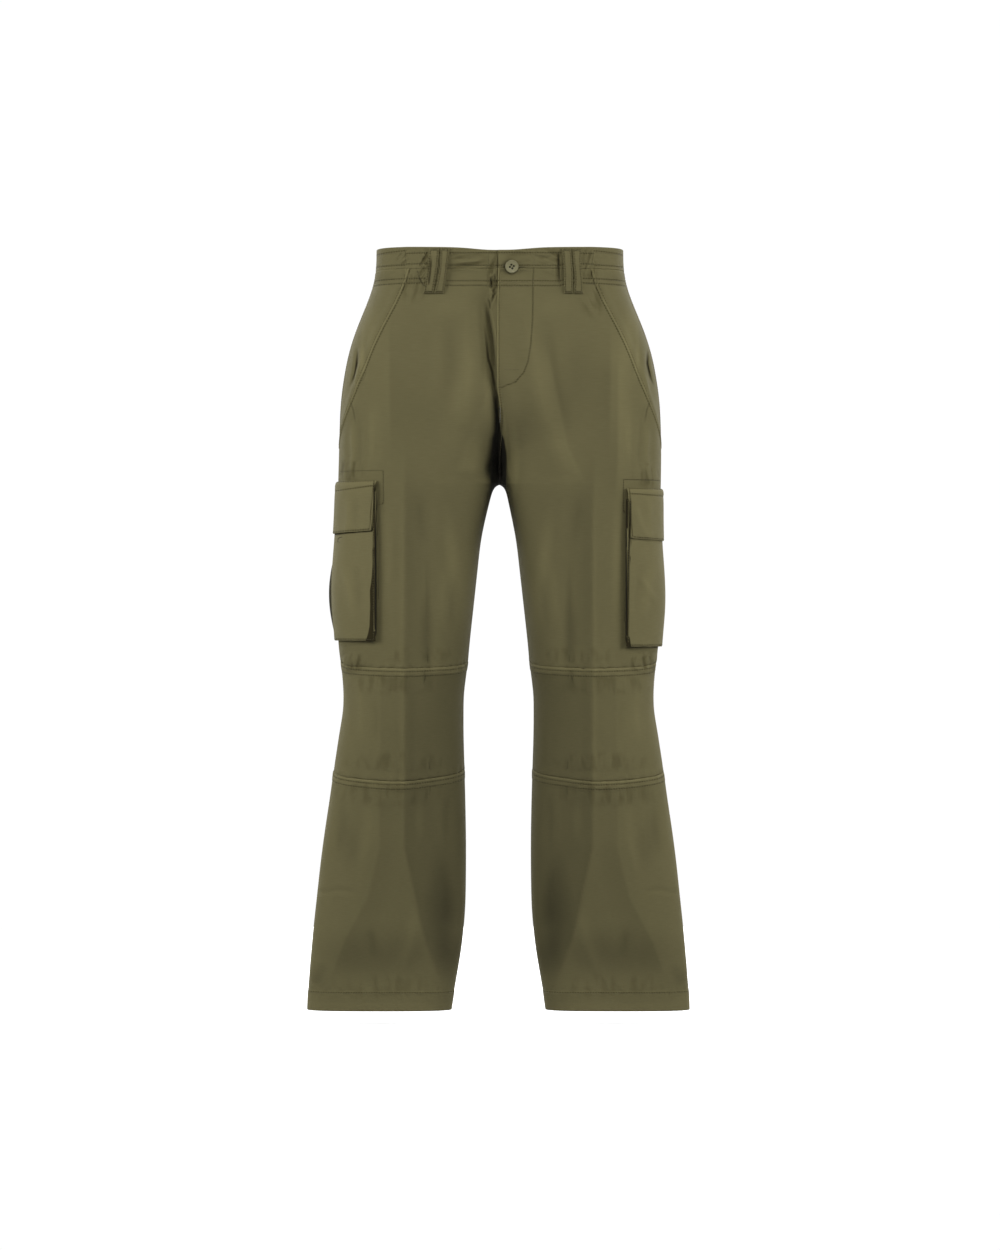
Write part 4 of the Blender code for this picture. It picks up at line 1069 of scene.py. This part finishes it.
# the cut of each piece of cloth: width, length and area of what shows, metres
cuts = {
    "front": (0.345, 0.570, 0.142), "side": (0.105, 0.245, 0.0208), "knee": (0.250, 0.165, 0.0378),
    "shin": (0.275, 0.345, 0.0820), "back": (0.370, 1.045, 0.279), "gusset": (0.010, 0.590, 0.0030),
    "bandFrontRight": (0.130, 0.037, 0.0046), "bandFrontLeft": (0.130, 0.031, 0.0038),
    "bandBack": (0.620, 0.036, 0.0208), "pocket": (0.205, 0.235, 0.0450), "flap": (0.200, 0.085, 0.0160),
    "flyShield": (0.036, 0.185, 0.0063), "loop": (0.0135, 0.067, 0.0008),
}
hangsFrom = {
    "front": "band_front_", "side": "band_back", "knee": "front_", "shin": "knee_", "back": "band_back",
    "gusset": "back_", "pocket": "front_", "flap": "front_", "flyShield": "band_front_left",
    "bandFront": "band_back", "loop": "band_back",
}
for name, obj in made.items():
    if name.endswith(("Stitches", "Thread")):
        continue
    kind = name if name in cuts else name.replace("Right", "").replace("Left", "")
    kind = "loop" if name.startswith("loop") else kind
    rest = hangsFrom.get(kind.replace("Right", "").replace("Left", ""), "")
    rest += ("right" if "Right" in name else "left") if rest.endswith("_") else ""

twill = {
    "base": (0.1535, 0.1363, 0.0630), "light": (0.187, 0.165, 0.082), "dark": (0.122, 0.112, 0.0515),
    # the thread is drawn darker than the cloth, partly as painted shade along the needle rows
    "thread": (0.118, 0.106, 0.047),
    # the thread in the button's holes is painted near black, as the shade in them
    "eyes": (0.012, 0.010, 0.005),      # the thread in the button's holes
    "groove": 1.4,                      # half width of a needle row, mm
    # painted shade in the needle rows, slits and wrinkle troughs
    "grooveTint": (0.40, 0.38, 0.31), "slitTint": (0.10, 0.085, 0.035),
    "troughTint": (0.50, 0.48, 0.40),
    "surface": {"Roughness": 0.86, "Sheen Weight": 0.08, "Sheen Roughness": 0.45,
                "Sheen Tint": (0.55, 0.53, 0.38, 1), "Specular IOR Level": 0.12},
    "ribs": {"Scale": 260.0, "Distortion": 1.2, "Detail": 2.0, "Detail Scale": 1.4}, "ribSlant": 52,
}

def node(tree, kind, *sources, **settings):
    # a shader node, its inputs in order or by name, as values or sockets to link, and its settings
    n = tree.nodes.new("ShaderNode" + kind)
    fed = list(zip(n.inputs, sources))
    for key, value in settings.items():
        if key in n.inputs:
            fed.append((n.inputs[key], value))
        else:
            setattr(n, key, value)
    for socket, value in fed:
        if isinstance(value, bpy.types.NodeSocket):
            tree.links.new(value, socket)
        else:
            socket.default_value = value
    return n

def newFinish(name, values):
    mat = bpy.data.materials.new(name)
    mat.use_nodes = True
    skin = mat.node_tree.nodes["Principled BSDF"]
    for key, value in values.items():
        skin.inputs[key].default_value = value
    return mat, mat.node_tree, skin

def twillFinish(name):
    mat, tree, skin = newFinish(name, twill["surface"])

    def add(kind, *sources, out=0, **settings):
        return node(tree, kind, *sources, **settings).outputs[out]

    def maths(operation, *sources):
        return add("Math", *sources, operation=operation)

    def layer(word, out):
        return add("Attribute", attribute_name=word, out=out)

    def tinted(factor, colour, tint):
        return add("Mix", data_type="RGBA", blend_type="MULTIPLY", Factor=factor, A=colour, B=(*tint, 1),
                   out="Result")

    weave, spot = add("UVMap", uv_map="weave"), add("TexCoord", out="Object")
    # slow brown and green drift, and slubs that lie across the leg
    drift = add("TexNoise", spot, Scale=9.0, Detail=3.0, Roughness=0.5)
    mild = add("MapRange", drift, 0, 1, 0.42, 0.58)
    slub = add("TexNoise", add("Mapping", weave, Scale=(60, 900, 1)), Scale=1.0, Detail=3.0, Roughness=0.6)
    ramp = node(tree, "ValToRGB", maths("MULTIPLY_ADD", slub, 0.30, mild))
    low, high = ramp.color_ramp.elements
    low.position, low.color = 0.42, (*twill["dark"], 1)
    high.position, high.color = 0.88, (*twill["light"], 1)
    ramp.color_ramp.elements.new(0.65).color = (*twill["base"], 1)
    # painted light and shade
    colour = add("VectorMath", ramp.outputs["Color"], operation="SCALE",
                 Scale=maths("ADD", layer("worn", "Fac"), 1.0))
    # needle rows: a narrow dotted groove with painted shade, darker than the cloth
    depths = []
    for word in ("rowsOne", "rowsTwo"):
        far = add("VectorMath", layer(word, "Vector"), operation="ABSOLUTE")
        fall = add("VectorMath", far, (-1 / twill["groove"],) * 3, (1, 1, 1), operation="MULTIPLY_ADD")
        depths += list(node(tree, "SeparateXYZ", fall).outputs)
    groove = depths[0]
    for other in depths[1:]:
        groove = maths("MAXIMUM", groove, other)
    beat = maths("SINE", maths("MULTIPLY", layer("row", "Fac"), 2 * math.pi / thread["pitch"]))
    dotted = add("MapRange", beat, -1, 1, 0.25, 1.3)
    groove = add("Math", groove, dotted, operation="MULTIPLY", use_clamp=True)
    colour = tinted(groove, colour, twill["grooveTint"])
    # painted shadow in slits, and painted shade in the troughs of shirred patches' wrinkles
    near, strength, filled = node(tree, "SeparateXYZ", layer("slit", "Vector")).outputs
    away = add("Mix", Factor=filled, A=maths("ABSOLUTE", near), B=maths("MAXIMUM", near, 0))
    closing = add("MapRange", away, 1.5, 0.1, 0, 1, interpolation_type="SMOOTHSTEP")
    deep = maths("MULTIPLY", closing, strength)
    colour = tinted(deep, colour, twill["slitTint"])
    shirr = layer("shirr", "Vector")
    wrinkle = add("TexNoise", shirr, Scale=1.0, Detail=1.0, Roughness=0.4)
    wave = add("MapRange", wrinkle, 0.28, 0.62, 0, 1, interpolation_type="SMOOTHSTEP")
    height = node(tree, "SeparateXYZ", shirr).outputs["Z"]
    folded = maths("MULTIPLY", wave, height)
    colour = tinted(maths("SUBTRACT", height, folded), colour, twill["troughTint"])
    tree.links.new(colour, skin.inputs["Base Color"])
    # relief: small gathers beside the sewing, grooves, wrinkles and slits, then the weave's slanted ribs
    small = add("TexNoise", spot, Scale=150.0, Detail=2.0, Roughness=0.45)
    total = maths("MULTIPLY_ADD", groove, -0.42, maths("MULTIPLY", small, layer("gathered", "Fac")))
    total = maths("MULTIPLY_ADD", folded, 0.9, total)
    total = maths("MULTIPLY_ADD", deep, -0.9, total)
    relief = add("Bump", Strength=1.0, Distance=0.0012, Height=total)
    slant = add("Mapping", weave, Rotation=(0, 0, math.radians(twill["ribSlant"])))
    ribs = add("TexWave", slant, wave_type="BANDS", bands_direction="X", out="Fac", **twill["ribs"])
    bump = add("Bump", Strength=0.35, Distance=0.0004, Height=maths("ADD", ribs, slub), Normal=relief)
    tree.links.new(bump, skin.inputs["Normal"])
    return mat

def cloudyFinish(name, shades, scale, ends, values):
    # two tones in small clouds
    mat, tree, skin = newFinish(name, values)
    spot = node(tree, "TexCoord").outputs["Object"]
    cloud = node(tree, "TexNoise", spot, Scale=scale, Detail=2.0).outputs[0]
    tint = node(tree, "ValToRGB", cloud)
    for element, colour, end in zip(tint.color_ramp.elements, shades, ends):
        element.position, element.color = end, (*colour, 1)
    tree.links.new(tint.outputs["Color"], skin.inputs["Base Color"])
    return mat, tree, skin, spot

def threadFinish(name, colour):
    shades = [[c * share for c in colour] for share in (0.82, 1.16)]
    mat, tree, skin, spot = cloudyFinish(name, shades, 420.0, (0.3, 0.7),
                                         {"Roughness": 0.7, "Specular IOR Level": 0.3})
    plies = node(tree, "TexWave", spot, wave_type="BANDS", bands_direction="DIAGONAL", Scale=420.0,
                 Distortion=0.6).outputs["Fac"]
    twist = node(tree, "Bump", Strength=0.5, Distance=0.0002, Height=plies).outputs["Normal"]
    tree.links.new(twist, skin.inputs["Normal"])
    return mat

oliveTwill = twillFinish("oliveTwill")
oliveThread = threadFinish("oliveThread", twill["thread"])
special = {
    "buttonThread": threadFinish("darkThread", twill["eyes"]),
    "buttonDisc": cloudyFinish("buttonHorn", (button["dark"], button["light"]), 320.0, (0, 1),
                               {"Roughness": 0.42, "Specular IOR Level": 0.3})[0],
}
for name, obj in (*made.items(), ("buttonDisc", buttonDisc)):
    plain = oliveThread if name.endswith("Stitches") else oliveTwill
    obj.data.materials.clear()
    obj.data.materials.append(special.get(name, plain))
print("finishes done")

studio = {                      # metres and watts
    "floor": -1.045, "floorReach": 2.6, "sky": 0.09, "white": 1.02, "target": (0, 0, -0.5),
    "glow": {"Base Color": (0.92, 0.92, 0.92, 1), "Roughness": 0.9, "Specular IOR Level": 0.0,
             "Emission Color": (1, 1, 1, 1), "Emission Strength": 0.85},
    "lights": {                 # place, power and size
        "leftLight": ((-3.4, -1.45, 0.7), 88, 1.9), "rightLight": ((3.4, -1.45, 0.7), 88, 1.9),
        "topLight": ((0, -4.0, 2.3), 90, 1.8),
        "backLeftLight": ((-2.3, 3.9, 0.9), 105, 1.9), "backRightLight": ((2.3, 3.9, 0.9), 105, 1.9),
    },
}
bm = bmesh.new()
bmesh.ops.create_circle(bm, cap_ends=True, segments=96, radius=studio["floorReach"],
                        matrix=Matrix.Translation((0, 0, studio["floor"])))
floor = meshObject("floor", bm)
floor.data.materials.append(newFinish("floorFinish", studio["glow"])[0])
floor.visible_diffuse = False       # its glow doesn't light the cloth

# the camera sees white, and the sky lights the cloth a little
world = bpy.data.worlds.new("studio")
scene.world = world
world.use_nodes = True
tree = world.node_tree
tree.nodes.clear()
lit, seen = [node(tree, "Background", Color=(1, 1, 1, 1), Strength=studio[k]).outputs[0]
             for k in ("sky", "white")]
both = node(tree, "MixShader", node(tree, "LightPath").outputs["Is Camera Ray"], lit, seen)
node(tree, "OutputWorld", both.outputs[0])

for name, (at, power, size) in studio["lights"].items():
    data = bpy.data.lights.new(name, "AREA")
    data.energy, data.size = power, size
    lamp = newObject(name, data)
    lamp.location = at
    lamp.rotation_mode = "QUATERNION"
    lamp.rotation_quaternion = (Vector(studio["target"]) - Vector(at)).to_track_quat("-Z", "Y")
print("lights", len(studio["lights"]))

view = {"away": 8.0, "tall": 1.725, "centre": (0.0021, -0.4946), "film": 36}     # metres, film in mm
data = bpy.data.cameras.new("camera")
data.sensor_width = view["film"]
data.lens = view["film"] * view["away"] / view["tall"]
camera = newObject("camera", data)
camera.location = (view["centre"][0], -view["away"], view["centre"][1])
camera.rotation_euler = (math.radians(90), 0, 0)
scene.camera = camera
scene.view_settings.view_transform = "Standard"

print("triangles", sum(len(p.vertices) - 2 for o in made.values() for p in o.data.polygons))
